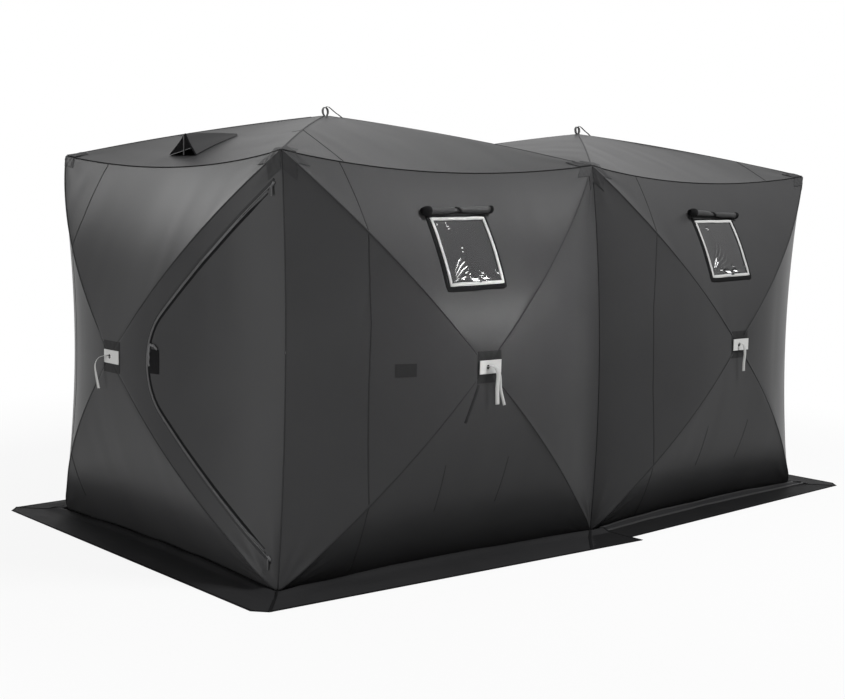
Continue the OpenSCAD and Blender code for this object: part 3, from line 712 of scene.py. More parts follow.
def between(low, high, steps):
    k = np.linspace(0, 1, steps + 1)[None, :, None]
    return low[:, None, :] * (1 - k) + high[:, None, :] * k


# %% Left end cloth
CORNER_COLS = 57
zip_line = door_line(ZIP_HALF_GAP, 0.0, DOOR_FOLD)
over_pole = pole_line(zip_line[:, 0])
nose_pole = pole_line(np.linspace(HUB_HOLE * 0.7, zip_line[0, 0], 24))
corner_t = 0.5 - 0.5 * np.cos(np.linspace(0, math.pi, CORNER_COLS))
corner_edge = edge_point(left_end, 1, corner_t)[:, :2]
fold_line = np.column_stack([np.full(CORNER_COLS, DOOR_FOLD), (2 * corner_t - 1) * DOOR_FOLD * HALF_H / HALF])
hang_wall(left_end, flat_cut([panel_grid(left_end, i) for i in (0, 2, 3)] + [
    between(zip_line, over_pole, 12),
    between(over_pole * MIRROR, zip_line * MIRROR, 12),
    between(nose_pole * MIRROR, nose_pole, 24),
    between(fold_line, corner_edge, 5).transpose(1, 0, 2),
]))

# %% Door flap
half_line = door_line(-ZIP_HALF_GAP, 3.0, DOOR_FOLD)
door_sheet = hang(flat_cut([between(half_line * MIRROR, half_line, 60)]), left_end, "door_cloth", shell_cloth)
thicken(door_sheet)
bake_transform(door_sheet)
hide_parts("left_door")

# %% Roof cloth
VENT_MOUTH, VENT_LONG, VENT_SIDE, VENT_WIDE, VENT_HIGH = -0.745, 0.29, 0.08, 0.22, 0.096
VENT_TAPER, VENT_RIM, VENT_HOLE = 0.92, 0.03, 0.2


def vent_half(u):
    """Half width of the vent's hood at a place along it."""
    share = np.clip((np.asarray(u, float) - VENT_MOUTH) / VENT_LONG, 0, 1)
    return VENT_WIDE / 2 * (1 - VENT_TAPER * share)


def under_vent(polygon):
    u, v = middle_of(polygon)
    along = VENT_MOUTH + VENT_RIM < u < VENT_MOUTH + VENT_HOLE
    return along and abs(v - VENT_SIDE) < vent_half(u) - VENT_RIM


for roof in roofs:
    pattern = flat_cut([panel_grid(roof, i) for i in range(4)])
    if roof is left_roof:
        bmesh.ops.delete(pattern, geom=[f for f in pattern.faces if under_vent(f)], context="FACES")
    sheet = hang(pattern, roof, roof.name + "_cloth", shell_cloth)
    finish_sheet(sheet, "shell_cloth", "stretched", ROOF_CUT, roof.name, rests_on=[roof.name + "_poles"])

# %% [markdown]
# ## Seams and bindings
# Panels are joined with folded seams over the poles, wide cloth is pieced with upright seams, and a dark
# binding covers the edges where two faces meet. All of them are low strips that follow the cloth.

# %% Seams over the poles and between cloth widths
SEAM_H, POLE_SEAM_W, WIDTH_SEAM_W = 0.0011, 0.008, 0.006
DART_U, DART_W, DART_H = 0.172, 0.004, 0.0009
outer_seam = ((-0.600, 0.846), (-0.582, 0.59), (-0.55, 0.2), (-0.556, -0.2), (-0.562, -0.58), (-0.533, -0.86))
inner_seam = ((-0.543, 0.842), (-0.575, 0.59), (-0.61, 0.2), (-0.61, -0.2), (-0.585, -0.58), (-0.528, -0.86))
end_seam = ((-0.520, 0.838), (-0.50, 0.75), (-0.47, 0.6), (-0.46, 0.2), (-0.47, -0.2), (-0.52, -0.5),
            (-0.59, -0.74))
left_roof_seam = np.array(((-0.50, -0.42), (-0.514, -0.516), (-0.548, -0.7), (-0.572, -0.872)))
right_roof_seam = np.array(((0.64, -0.60), (0.626, -0.656), (0.583, -0.872)))
pole_seam_parts, seam_parts = [], []
for face in walls + roofs:
    for corner in face.corners[:, :2]:
        pole_seam_parts.append(cloth_strip(face, (corner * 0.055, corner * 0.995), POLE_SEAM_W, SEAM_H))
for faces, line in ((outer_walls, outer_seam), (inner_walls, inner_seam), (ends, end_seam),
                    ((left_roof,), left_roof_seam), ((left_roof,), left_roof_seam * MIRROR),
                    ((right_roof,), right_roof_seam), ((right_roof,), right_roof_seam * MIRROR)):
    for face in faces:
        seam_parts.append(cloth_strip(face, line, WIDTH_SEAM_W, SEAM_H))
for side in (-DART_U, DART_U):
    for face in long_walls:
        seam_parts.append(cloth_strip(face, ((side * 1.05, -0.412), (side * 1.02, -0.626)), DART_W, DART_H))
put_on(strips_piece("shell_seams", seam_parts, seam_cloth), "shell_cloth")
put_on(strips_piece("pole_seams", pole_seam_parts, pole_seam_cloth), "shell_cloth")

# %% Bindings along the edges
RING = np.linspace(0, 2 * math.pi, 8, endpoint=False)
BINDING_SECTION = tuple((0.5 * math.cos(a), 0.5 * math.sin(a)) for a in RING)
BINDING_W, FOOT_BINDING_W, FOOT_LIFT = 0.0055, 0.007, 0.0036


def edge_strip(face, i, tilt, width=BINDING_W, lift=0.0):
    points = edge_point(face, i, np.linspace(0.004, 0.996, 64))
    out = unit(np.broadcast_to(np.asarray(tilt, float), points.shape) @ directions(face))
    path = place(face, points + (0, lift, CLOTH_T)) + out * 0.0005
    return strip_parts(path, out, width, width * 0.8, section=BINDING_SECTION)


binding_parts = []
for wall in walls:
    binding_parts.append(edge_strip(wall, 2, (0, 0.6, 0.8)))
    binding_parts.append(edge_strip(wall, 0, (0, 0.3, 1), FOOT_BINDING_W, FOOT_LIFT))
corner_parts = []
for outer, inner in zip(outer_walls, inner_walls):
    binding_parts.append(edge_strip(outer, 1, (0, 0, 1)))
    corner_parts.append(edge_strip(outer, 3, (-1, 0, 1)))
    corner_parts.append(edge_strip(inner, 1, (1, 0, 1)))
binding_parts.append(edge_strip(left_roof, 1, (0, 0, 1)))
put_on(strips_piece("edge_bindings", binding_parts, binding_tape), "cover_cloth")
put_on(strips_piece("corner_bindings", corner_parts, pole_seam_cloth), "cover_cloth")

# %% [markdown]
# ## Corner reinforcements
# The roof corners carry an extra layer of cloth, crumpled where it is turned over the joint. Each is a
# small sheet that follows the faces round the corner.

# %% Corner patches
PATCH_FROM, PATCH_TO, PATCH_SHARE, PATCH_STEPS = 0.945, 0.999, 0.042, 13
PATCH_LIFT, CRUMPLE_H = 0.0012, 0.0018


def crumple(uv):
    return CRUMPLE_H + CRUMPLE_H * ripple(77, uv[:, 0] / 0.008 + uv[:, 1] / 0.02, uv[:, 1] / 0.024)


corner_pieces = []
s = np.linspace(PATCH_FROM, PATCH_TO, PATCH_STEPS)[:, None, None]
for face, corner_ids in [(w, (2, 3)) for w in walls] + [(r, (0, 1, 2, 3)) for r in roofs]:
    for c in corner_ids:
        for panel_id, first, last in ((c, 0, PATCH_SHARE), ((c - 1) % 4, 1 - PATCH_SHARE, 1)):
            grid = s * edge_point(face, panel_id, np.linspace(first, last, PATCH_STEPS))[None, :, :2]
            patch = hang(flat_cut([grid]), face, "corner_patch", patch_cloth, PATCH_LIFT, crumple)
            corner_pieces.append(patch)
corner_sheet = join_pieces(corner_pieces, "corner_patches")
thicken(corner_sheet)
put_on(corner_sheet, "cover_cloth")

# %% [markdown]
# ## Skirt
# The skirt is a loose width of heavier cloth sewn to the foot of the walls, on which snow is shovelled.
# It rises over its seam, then lies in low waves on the ground. Six lengths go round the shelter, mitred
# at the corners. On each long side one length laps over the next, and from the joint on the cloth is
# darker, with pale piping.

# %% Shape of the skirt
SKIRT_W, END_W, LAP, LAP_STEPS = 0.21, 0.235, 0.06, 6
BLUNT, JOINT_LEAN, SEWN_ROWS = 0.05, 0.27, 6
TIP, END_TIP = HALF + END_W - BLUNT - 0.0005, HALF + SKIRT_W - 0.0005
RIDGE_H, RIDGE_AT, RIDGE_W, RIDGE_GAP = 0.017, 0.040, 0.024, 0.16
WAVE_H, WAVE_GAP, SKIRT_LIFT = 0.0045, (0.17, 0.09), 0.0022
# Where a length's outer edge starts and stops, along its wall and out from it.
outer_line = ((-TIP, SKIRT_W), (0.96, 0.355))
inner_line = ((-0.839, 0.285), (TIP, SKIRT_W))
end_line = ((-END_TIP, END_W), (END_TIP, END_W))
skirt_lines = (outer_line, inner_line, outer_line, inner_line, end_line, end_line)


def skirt_height(seed, u, d, inwards):
    ridge = RIDGE_H * bump_at(d, RIDGE_AT, RIDGE_W) * (0.8 + 0.3 * ripple(seed, u / RIDGE_GAP, d * 0))
    calm = np.clip(d / 0.08, 0, 1) * np.clip(inwards / 0.25, 0, 1)
    waves = WAVE_H * np.clip(ripple(seed + 3, u / WAVE_GAP[0], d / WAVE_GAP[1]), 0, 1) * calm
    off_corners = np.clip((HALF + 0.1 - np.abs(u)) / 0.12, 0, 1)
    return SKIRT_LIFT + ridge + waves * (0.25 + 0.75 * off_corners)


def skirt_points(wall, line, rows, cols):
    """Places of a skirt on its wall, from the wall's foot to the outer edge, and the same laid flat."""
    k = np.linspace(0, 1, rows)[:, None, None]
    first = LAP / (2 * HALF) if wall in inner_walls else 0.0
    foot = edge_point(wall, 0, np.linspace(first, 1, cols))[:, (0, 2)] + (0, CLOTH_T + 0.001)
    if wall in outer_walls:
        lap = (np.linspace(HALF, HALF + LAP, LAP_STEPS), np.linspace(0.0775, 0.0715, LAP_STEPS))
        foot = np.vstack([foot, np.column_stack(lap)[1:]])
    share = (foot[:, :1] - foot[0, 0]) / (foot[-1, 0] - foot[0, 0])
    start, stop = np.array(line)
    outer = start + (stop - start) * share
    if wall in ends:
        outer = outer - BLUNT * np.clip(1 - np.minimum(share, 1 - share) / 0.025, 0, 1) * (0, 1)
    flat = foot[None] * (1 - k) + outer[None] * k
    height = skirt_height(len(wall.name), flat[..., 0], flat[..., 1] - foot[None, :, 1], 1 - k[..., 0])
    return np.stack([flat[..., 0], height - HALF_H, flat[..., 1]], -1), flat


# %% Skirt lengths
SKIRT_ROWS, SKIRT_COLS = 20, 80
HEM, SIDE_HEM, JOINT_SEAM, PIPING = (0.012, 0.0013), (0.014, 0.0016), (0.016, 0.0016), (0.012, 0.005)
PIPING_LIFT = 0.0012
joint_u = np.linspace(HALF, HALF - JOINT_LEAN, SKIRT_ROWS)
hem_parts, piping_parts = [], []
for wall, line in zip(walls, skirt_lines):
    local, flat = skirt_points(wall, line, SKIRT_ROWS, SKIRT_COLS)
    points = place(wall, local)
    sheet = new_piece(wall.name + "_skirt_cloth", points.reshape(-1, 3), grid_polygons(*local.shape[:2]),
                      skirt_cloth, flat.reshape(-1, 2))
    hem_parts.append(strip_parts(place(wall, local[-1] * (0.9985, 1, 1) - (0, 0, 0.007)), UP, *HEM))
    if wall not in ends:
        darker = np.full(flat.shape[:2], wall in inner_walls) | (flat[..., 0] > joint_u[:, None])
        darker[:SEWN_ROWS] = False
        sheet.data.materials.append(cover_cloth)
        sheet.data.polygons.foreach_set("material_index", darker[:-1, :-1].ravel().astype(int))
    if wall in outer_walls:
        hem_parts.append(strip_parts(points[:, -1], UP, *SIDE_HEM))
        joint = [[np.interp(u, row[:, 0], row[:, k]) for k in range(3)] for u, row in zip(joint_u, local)]
        hem_parts.append(strip_parts(place(wall, joint), UP, *JOINT_SEAM))
    if wall in inner_walls:
        for row in (2, SEWN_ROWS):
            out = np.array((0.0, 0.8, 0.5)) @ directions(wall)
            piping_parts.append(strip_parts(points[row] + (0.0, 0.0, PIPING_LIFT), out, *PIPING))
    else:
        hem_parts.append(strip_parts(points[:, 0], UP, *SIDE_HEM))
    finish_sheet(sheet, "skirt_cloth", "laid", (2.2, 0.27), wall.name + "_skirt")
put_on(strips_piece("skirt_hems", hem_parts, binding_tape), "skirt_cloth")
put_on(strips_piece("skirt_piping", piping_parts, shell_cloth), "skirt_cloth")

# %% [markdown]
# ## Windows
# A window is clear film behind a pale hook-and-loop tape, with a dark tape round that; at the left and
# below, this dark band is widened by a painted shadow. Its dark cover is rolled up above it and held by a
# tie in the middle. The film keeps the creases from being folded: a fan from one lower corner, and small
# tilted facets that mirror the light.

# %% Window film
FILM_IN, FILM_T, FILM_BACK = 0.010, 0.0004, -0.004
FILM_COLS, FILM_ROWS = 111, 101
RAY_TURNS, RAY_REACH, FILM_EDGE = 40, 0.145, 0.04
# Facets pressed into the film: place in the window, length, width and turn in degrees.
FACETS = (
    (0.10, 0.884, 0.005, 0.004, 0), (0.283, 0.839, 0.012, 0.007, -45), (0.265, 0.90, 0.006, 0.005, 0),
    (0.405, 0.545, 0.006, 0.006, 0), (0.40, 0.49, 0.005, 0.005, 0), (0.30, 0.13, 0.026, 0.008, 20),
    (0.49, 0.081, 0.034, 0.012, -15), (0.68, 0.099, 0.030, 0.008, -5), (0.645, 0.174, 0.018, 0.005, -25),
    (0.93, 0.17, 0.014, 0.005, -40),
)
FACET_SLOPES = {"outer": (0.24, -0.40), "inner": (0.52, -0.50)}
RAY_RISES = {"outer": 0.0148, "inner": 0.032}


def film_creases(uv, slope, ray_rise):
    b = (uv[:, 1] - WINDOW_MID[1]) / WINDOW_H
    a = (uv[:, 0] - WINDOW_MID[0] + b * WINDOW_LEAN) / WINDOW_W + 0.5
    b = b + 0.5
    right, up = (a - 0.03) * WINDOW_W, (b - 0.03) * WINDOW_H
    angle, far = np.arctan2(up, right), np.hypot(right, up)
    rays = np.sin(angle * RAY_TURNS + 0.9 * ripple(23, far / 0.05, a * 0))
    fan = np.clip((1.1 - angle) * 4, 0, 1) * np.clip((angle - 0.2) * 6, 0, 1)
    reach = np.exp(-((far / RAY_REACH) ** 4)) * fan
    total = ray_rise * far * rays * reach
    for at_a, at_b, length, width, turn in FACETS:
        du, dv = (a - at_a) * WINDOW_W, (b - at_b) * WINDOW_H
        c, s = math.cos(math.radians(turn)), math.sin(math.radians(turn))
        off = ((du * c + dv * s) / length) ** 2 + ((dv * c - du * s) / width) ** 2
        total = total + (slope[0] * du + slope[1] * dv) * np.exp(-(off**2))
    edge = np.clip(np.minimum(np.minimum(a, 1 - a), np.minimum(b, 1 - b)) / FILM_EDGE, 0, 1)
    return FILM_BACK + total * edge


fine_a, fine_b = (np.linspace(0, 1, count) ** 1.5 - 0.5 for count in (FILM_COLS, FILM_ROWS))
film_grid = window_place(*np.meshgrid(fine_a, fine_b, indexing="ij"), -FILM_IN)
for wall in long_walls:
    kind = "outer" if wall in outer_walls else "inner"
    creases = partial(film_creases, slope=FACET_SLOPES[kind], ray_rise=RAY_RISES[kind])
    film = hang(flat_cut([film_grid]), wall, wall.name + "_film", clear_film, 0.0, creases)
    thicken(film, FILM_T)
    put_on(film, "window_film", wall.name + "_window_pane")
print("film hung in", len(long_walls), "windows")

# %% Window tapes
ACROSS_STEPS, UP_STEPS = 24, 22
BORDER_W, BORDER_H, BORDER_IN, SURROUND_AND_SHADOW_H = 0.016, 0.003, 0.0075, 0.0022
# The dark band is the tape, widened at the left and below by a painted shadow, so its middle lies
# farther out there.
SURROUND_AND_SHADOW_OUT = (-0.0115, 0.0045, -0.0105, 0.0035)
SURROUND_AND_SHADOW_WIDE = np.repeat((0.024, 0.012, 0.010, 0.026), (ACROSS_STEPS, UP_STEPS, ACROSS_STEPS, UP_STEPS))


def round_window(left, right, low, high):
    """Values across and up, going round the window from its lower left corner."""
    across, upright = (np.linspace(0, 1, n, endpoint=False) for n in (ACROSS_STEPS, UP_STEPS))
    a = [left + (right - left) * across, np.full(UP_STEPS, right),
         right + (left - right) * across, np.full(UP_STEPS, left)]
    b = [np.full(ACROSS_STEPS, low), low + (high - low) * upright,
         np.full(ACROSS_STEPS, high), high + (low - high) * upright]
    return np.concatenate(a), np.concatenate(b)


def window_loop(grow, seed, waver):
    a, b = round_window(-0.5, 0.5, -0.5, 0.5)
    around = np.arange(len(a))
    shift = np.column_stack([ripple(seed, around / 5, around * 0), ripple(seed + 1, around / 5, around * 0)])
    return window_place(a, b, grow) + waver * shift


for n, wall in enumerate(long_walls):
    path, out = on_cloth(wall, window_loop(-BORDER_IN, 40 + n, 0.0013), -0.001)
    border = strip_parts(path, out, BORDER_W, BORDER_H, True)
    tape = strips_piece(wall.name + "_border_tape", [border], hook_loop)
    put_on(tape, "hook_and_loop", wall.name + "_window_border")
    # The dark band round the window: tape all round, plus painted shadow at the left and below.
    outside = np.column_stack(round_window(*SURROUND_AND_SHADOW_OUT))
    path, out = on_cloth(wall, window_loop(0.0, 50 + n, 0.0014) + outside)
    surround_and_shadow = strip_parts(path, out, SURROUND_AND_SHADOW_WIDE, SURROUND_AND_SHADOW_H, True)
    put_on(strips_piece(wall.name + "_window_surround", [surround_and_shadow], binding_tape), "cover_cloth")

# %% Rolled covers
ROLL_UP, ROLL_L, ROLL_R, ROLL_TURNS = 0.6635, 0.43, 0.018, 4.5
ROLL_COLS, ROLL_STEPS, ROLL_SLACK = 65, 110, 0.86
ROLL_CORE, ROLL_PLAY, ROLL_TRIM, ROLL_PITCH = 0.005, 0.0063, 0.006, 0.011
ROLL_TILTS = (0.014, -0.012, 0.014, -0.012)
COVER_H, TIE_W, TIE_H = 0.32, 0.013, 0.0014
along = np.linspace(-0.5, 0.455, ROLL_COLS)
turn = np.linspace(0, 2 * math.pi * ROLL_TURNS, ROLL_STEPS)
a, th = np.meshgrid(along, turn, indexing="ij")
pinch = ROLL_SLACK - 0.36 * bump_at(a, -0.01, 0.08) - 0.06 * bump_at(a, 0.2, 0.12)
pinch = pinch + 0.56 * np.exp(-(((a + 0.445) / 0.045) ** 4)) + 0.30 * np.exp(-(((a - 0.43) / 0.02) ** 4))
angle = th - turn[-1] - 0.5 * math.pi
u = WINDOW_MID[0] + a * (ROLL_L - ROLL_TRIM)
roll_uv = np.stack([u, np.broadcast_to(turn * ROLL_PITCH, u.shape)], -1).reshape(-1, 2)
dark_end = np.repeat((along[:-1] < -0.40) | (along[:-1] > 0.40), ROLL_STEPS - 1).astype(int)
ring = np.linspace(0, 2 * math.pi, 28, endpoint=False)
tie_r = ROLL_R * 0.52 + 0.0012
for n, wall in enumerate(long_walls):
    lumps = 1 + 0.13 * ripple(60 + n, a * 11, th / 1.3) * (th / turn[-1]) ** 2
    radius = (ROLL_CORE + (ROLL_R - ROLL_PLAY) * th / turn[-1]) * pinch * lumps
    sway = 0.002 * ripple(64 + n, a * 4, a * 0) + ROLL_TILTS[n] * a
    seat = cloth_w(wall, np.stack([u, np.full_like(u, ROLL_UP)], -1))
    seat = seat + ROLL_R * np.maximum(ROLL_SLACK, pinch) + 0.0005
    local = np.stack([u, ROLL_UP + radius * np.cos(angle) + sway, seat + radius * np.sin(angle)], -1)
    cover = new_piece(wall.name + "_rolled_cover", place(wall, local).reshape(-1, 3),
                      grid_polygons(ROLL_COLS, ROLL_STEPS), roll_cloth, roll_uv)
    cover.data.materials.append(binding_tape)
    cover.data.polygons.foreach_set("material_index", dark_end)
    thicken(cover, 0.0009, 0.0)
    put_on(cover, "cover_cloth", wall.name + "_window_roll")
    tie_w = float(cloth_w(wall, np.array([WINDOW_MID[0], ROLL_UP]))) + ROLL_R * ROLL_SLACK
    round_roll = tie_r * np.column_stack([-1.2 * np.cos(ring), np.cos(ring), np.sin(ring)])
    radial = np.column_stack([ring * 0, np.cos(ring), np.sin(ring)]) @ directions(wall)
    tie = strip_parts(place(wall, round_roll + (WINDOW_MID[0], ROLL_UP, tie_w)), radial, TIE_W, TIE_H, True)
    put_on(strips_piece(wall.name + "_cover_tie", [tie], binding_tape), "cover_cloth")
print("covers rolled")

# %% [markdown]
# ## Hub fittings
# Outside each hub a square of cloth spreads the pull, a pale plate is clamped over it, and a webbing
# strap comes through the plate's hole to pull the wall out when the shelter is put up. The front left
# strap has two tails.

# %% Hub patches
HUB_OFF, PATCH, PATCH_HOLE = 0.015, 0.138, 0.012
PLATE_HALF, PLATE_T, PLATE_LIFT = (0.0625, 0.029), 0.003, 0.0026


def pucker(uv):
    u, v = uv[:, 0] - HUB_OFF, uv[:, 1]
    far = np.maximum(np.abs(u), np.abs(v)) / (PATCH / 2)
    waves = 1 + np.sin(11 * np.arctan2(v, u))
    return 0.0006 + 0.0007 * waves * np.clip(far - 0.45, 0, 1) * np.clip((1 - far) * 8, 0, 1)


def hub_rectangle(half_u, half_v, cols, rows):
    return rectangle((-half_u, -half_v), (half_u, half_v), cols, rows) + (HUB_OFF, 0.0)


hub_cloths = []
for wall in walls:
    pattern = flat_cut([hub_rectangle(PATCH / 2, PATCH / 2, 33, 33)])
    hole = [f for f in pattern.faces if f.calc_center_median().length < PATCH_HOLE]
    bmesh.ops.delete(pattern, geom=hole, context="FACES")
    hub_cloths.append(hang(pattern, wall, "hub_patch", hub_cloth, 0.0004, pucker))
hub_sheet = join_pieces(hub_cloths, "hub_patch_cloth")
finish_sheet(hub_sheet, "cover_cloth", "stretched", (6 * PATCH, PATCH), "hub_patches")

# %% Webbing straps
WEB_SECTION = ((-0.5, -0.5), (-0.5, 0.5), (0.5, 0.5), (0.5, -0.5))
WEB_T = 0.0016
# Tails as points from the plate's hole and a width, with the way across the webbing at both ends.
outer_tails = (
    (((0, 0, -0.008), (0.005, 0.004, 0.012), (0.021, -0.002, 0.024), (0.032, -0.03, 0.028),
      (0.033, -0.09, 0.024), (0.032, -0.160, 0.028)), 0.018),
    (((0.003, 0, -0.008), (0.016, 0.004, 0.009), (0.038, -0.006, 0.016), (0.053, -0.04, 0.018),
      (0.064, -0.10, 0.014), (0.084, -0.168, 0.018)), 0.013),
)
inner_tails = (
    (((0, 0, -0.008), (0, 0.007, 0.014), (0.004, -0.002, 0.028), (0.010, -0.04, 0.032),
      (0.016, -0.09, 0.024), (0.022, -0.136, 0.020)), 0.015),
)
end_tails = (
    (((0, 0, -0.008), (-0.004, 0.004, 0.018), (-0.016, -0.006, 0.042), (-0.022, -0.035, 0.054),
      (-0.020, -0.08, 0.050), (-0.016, -0.138, 0.040)), 0.015),
)
strap_sets = ((outer_walls, outer_tails, (1, 0, 0), (0.94, 0, 0.34)),
              (ends, end_tails, (0.5, 0, 1), (1, 0, -0.4)),
              (inner_walls, inner_tails, (1, 0, 0), (0.9, 0, 0.44)))
# A dark flat strip runs down and out on the cloth below each outer wall's hub patch.
DARK_STRIP_PATH, DARK_STRIP_W = ((-0.044, -0.075), (-0.075, -0.15), (-0.108, -0.235)), 0.017


def smooth_line(points, steps=8):
    """A smooth line through points (Catmull-Rom)."""
    points = np.asarray(points, float)
    knots = np.vstack([2 * points[0] - points[1], points, 2 * points[-1] - points[-2]])
    line = []
    for k in range(1, len(knots) - 2):
        p0, p1, p2, p3 = knots[k - 1:k + 3]
        for t in np.linspace(0, 1, steps, endpoint=False):
            line.append(0.5 * (2 * p1 + (p2 - p0) * t + (2 * p0 - 5 * p1 + 4 * p2 - p3) * t * t
                               + (3 * p1 - p0 - 3 * p2 + p3) * t**3))
    line.append(points[-1])
    return np.array(line)


def webbing(face, points, across_start, across_end, width):
    local = smooth_line(points)
    share = np.linspace(0, 1, len(local))[:, None]
    across = np.asarray(across_start, float) * (1 - share) + np.asarray(across_end, float) * share
    out = unit(np.cross(unit(np.gradient(local, axis=0)), across))
    return strip_parts(place(face, local), out @ directions(face), width, WEB_T, section=WEB_SECTION)


pull_parts = []
for group, tails, first_across, last_across in strap_sets:
    for wall in group:
        plate_cloth = cloth_w(wall, hub_rectangle(*PLATE_HALF, 7, 5))
        top = np.array([0, 0, float(plate_cloth.max()) + PLATE_LIFT + PLATE_T])
        for tail, width in tails:
            pull_parts.append(webbing(wall, top + tail, first_across, last_across, width))
# Dark flat strips on the cloth below the outer walls' hub patches.
dark_strip_parts = [cloth_strip(wall, DARK_STRIP_PATH, DARK_STRIP_W, WEB_T) for wall in outer_walls]
put_on(strips_piece("hub_tethers", dark_strip_parts, hub_cloth), "webbing")
put_on(strips_piece("pull_straps", pull_parts, pale_webbing), "webbing", "wall_straps")

# %% Roof loops
LOOP_W, LOOP_TAIL_W = 0.018, 0.012
stand = ((-0.005, 0, -0.003), (-0.015, 0.002, 0.014), (-0.014, 0.004, 0.032), (-0.001, 0.005, 0.043),
         (0.012, 0.004, 0.034), (0.014, 0.002, 0.016), (0.005, 0, -0.003))
loop_parts = []
for roof in roofs:
    apex = np.array([0, 0, float(cloth_w(roof, np.array([0.0, 0.016])))])
    low_end = float(cloth_w(roof, np.array([0.098, -0.02]))) - apex[2] + 0.001
    tail = ((0.000, -0.004, 0.045), (0.010, -0.006, 0.045), (0.024, -0.010, 0.036), (0.046, -0.014, 0.020),
            (0.072, -0.018, 0.005), (0.098, -0.02, low_end))
    loop_parts.append(webbing(roof, apex + stand, (0.1, 1, 0.1), (0.1, 1, -0.1), LOOP_W))
    loop_parts.append(webbing(roof, apex + tail, (0, 1, 0.2), (0.2, 1, 0), LOOP_TAIL_W))
put_on(strips_piece("roof_loops", loop_parts, grey_webbing), "webbing", "roof_straps")

# %% [markdown]
# ## Roof vent
# A hood of cloth stands over a hole near the roof's edge, held open by a short prop. Its mouth is a
# triangle that runs back into a flat tail.

# %% Vent hood
HOOD_ROWS, HOOD_COLS, HOOD_LIFT = 28, 41, 0.0016
RIM_W, RIM_H = 0.008, 0.0018
k, c = np.meshgrid(np.linspace(0, 1, HOOD_ROWS), np.linspace(-1, 1, HOOD_COLS), indexing="ij")
narrow = 1 - VENT_TAPER * k
hood_u = VENT_MOUTH + k * VENT_LONG + 0.012 * (1 - np.abs(c)) * (1 - k)
hood_v = VENT_SIDE + c * narrow * VENT_WIDE / 2
hood_uv = np.stack([hood_u, hood_v], -1)
peak = np.clip(1 - np.sqrt(c * c + 0.004) + 0.03, 0, 1) * (1 - 0.12 * np.sin(math.pi * np.abs(c)))
hood_w = cloth_w(left_roof, hood_uv) + HOOD_LIFT + VENT_HIGH * narrow * peak
hood_points = place(left_roof, np.stack([hood_u, hood_v, hood_w], -1))
hood = new_piece("vent_hood", hood_points.reshape(-1, 3), grid_polygons(HOOD_ROWS, HOOD_COLS), shell_cloth,
                 hood_uv.reshape(-1, 2))
finish_sheet(hood, "shell_cloth", "stretched", (0.29, 0.24), "roof_vent", rests_on=["vent_prop"])
net_k, net_c = np.meshgrid(np.linspace(0, 0.72, 20), np.linspace(-0.94, 0.94, 25), indexing="ij")
net_u = VENT_MOUTH + 0.001 + net_k * VENT_LONG
net_v = VENT_SIDE + net_c * (1 - VENT_TAPER * net_k) * VENT_WIDE / 2
net = hang(flat_cut([np.stack([net_u, net_v], -1)]), left_roof, "vent_net", net_cloth, HOOD_LIFT)
finish_sheet(net, "cover_cloth", "laid", (0.21, 0.21), rests_on=["left_roof_cloth"])
rim = strip_parts(hood_points[0], (-0.6, 0.0, 0.8), RIM_W, RIM_H)
put_on(strips_piece("vent_rim", [rim], binding_tape), "cover_cloth")

# %% [markdown]
# ## Zip and handle
# The door's zip runs round its outline: a dark tape on each side, and two rows of teeth that meet in the
# middle. The door's own tape and teeth are put on no body; their places are baked into their meshes. A
# dark cloth tab at the nose is the handle.

# %% Zip tapes and teeth
WALL_ZIP_END, DOOR_ZIP_END, ZIP_GAP = 0.868, DOOR_FOLD - 0.004, 0.012
# Name, offset from the outline, width, height, lift, taper at the ends and material.
zip_rows = (("zip_wall_tape", 0.0095, 0.009, 0.0007, 0.0002, 0.0, patch_cloth),
            ("zip_wall_teeth", 0.0024, 0.0036, 0.0016, 0.0004, 0.0, zip_tape),
            ("zip_door_tape", -0.0100, 0.011, 0.0009, 0.0002, 0.1, binding_tape),
            ("zip_door_teeth", -0.0024, 0.0036, 0.0016, 0.0004, 0.0, zip_tape))
for name, d, width, height, lift, taper, material in zip_rows:
    upper = door_line(d, 0.4, WALL_ZIP_END if d > 0 else DOOR_ZIP_END)
    path = np.vstack([upper[::-1], upper * MIRROR])
    piece = strips_piece(name, [cloth_strip(left_end, path, width, height, lift, ZIP_GAP, taper)], material)
    if d > 0:
        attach(piece, SHELTER)
    else:
        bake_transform(piece)

# %% Handle tab and side patches
CRUMPLE_STRIP_W, CRUMPLE_STRIP_H, CRUMPLE_STRIP_LIFT, CRUMPLE_STRIP_GAP = 0.011, 0.0045, 0.0035, 0.004
TAB_RISE, SIDE_PATCH_RISE = 0.006, 0.0012
tab_low, tab_high = (0.284, -0.0445), (0.345, 0.0575)
patch_low, patch_high = (-0.452, -0.0225), (-0.361, 0.0325)
# Path of a raised strip along a crumple of the door cloth beside the tab; its pale colour is a painted
# highlight on the crumple.
crumple_highlight_line = ((0.337, 0.060), (0.326, 0.068), (0.318, 0.077), (0.306, 0.074), (0.298, 0.079), (0.289, 0.066),
               (0.291, 0.052), (0.285, 0.040), (0.290, 0.022), (0.285, 0.006), (0.291, -0.014))


def puff(uv, low, high, rise):
    """A cushion over a rectangle, a little uneven."""
    share = (uv - np.array(low)) / (np.array(high) - np.array(low))
    bulge = np.clip(4 * share * (1 - share), 0, 1).prod(axis=1)
    return 0.0012 + rise * bulge * (1 + 0.4 * ripple(91, uv[:, 0] / 0.02, uv[:, 1] / 0.03))


tab_puff = partial(puff, low=tab_low, high=tab_high, rise=TAB_RISE)
tab_cut = flat_cut([rectangle(tab_low, tab_high, 25, 37)])
tab = hang(tab_cut, left_end, "door_handle_tab", binding_tape, 0.001, tab_puff)
finish_sheet(tab, "cover_cloth", "laid", (0.061, 0.102), rests_on=["door_cloth"], body=DOOR)
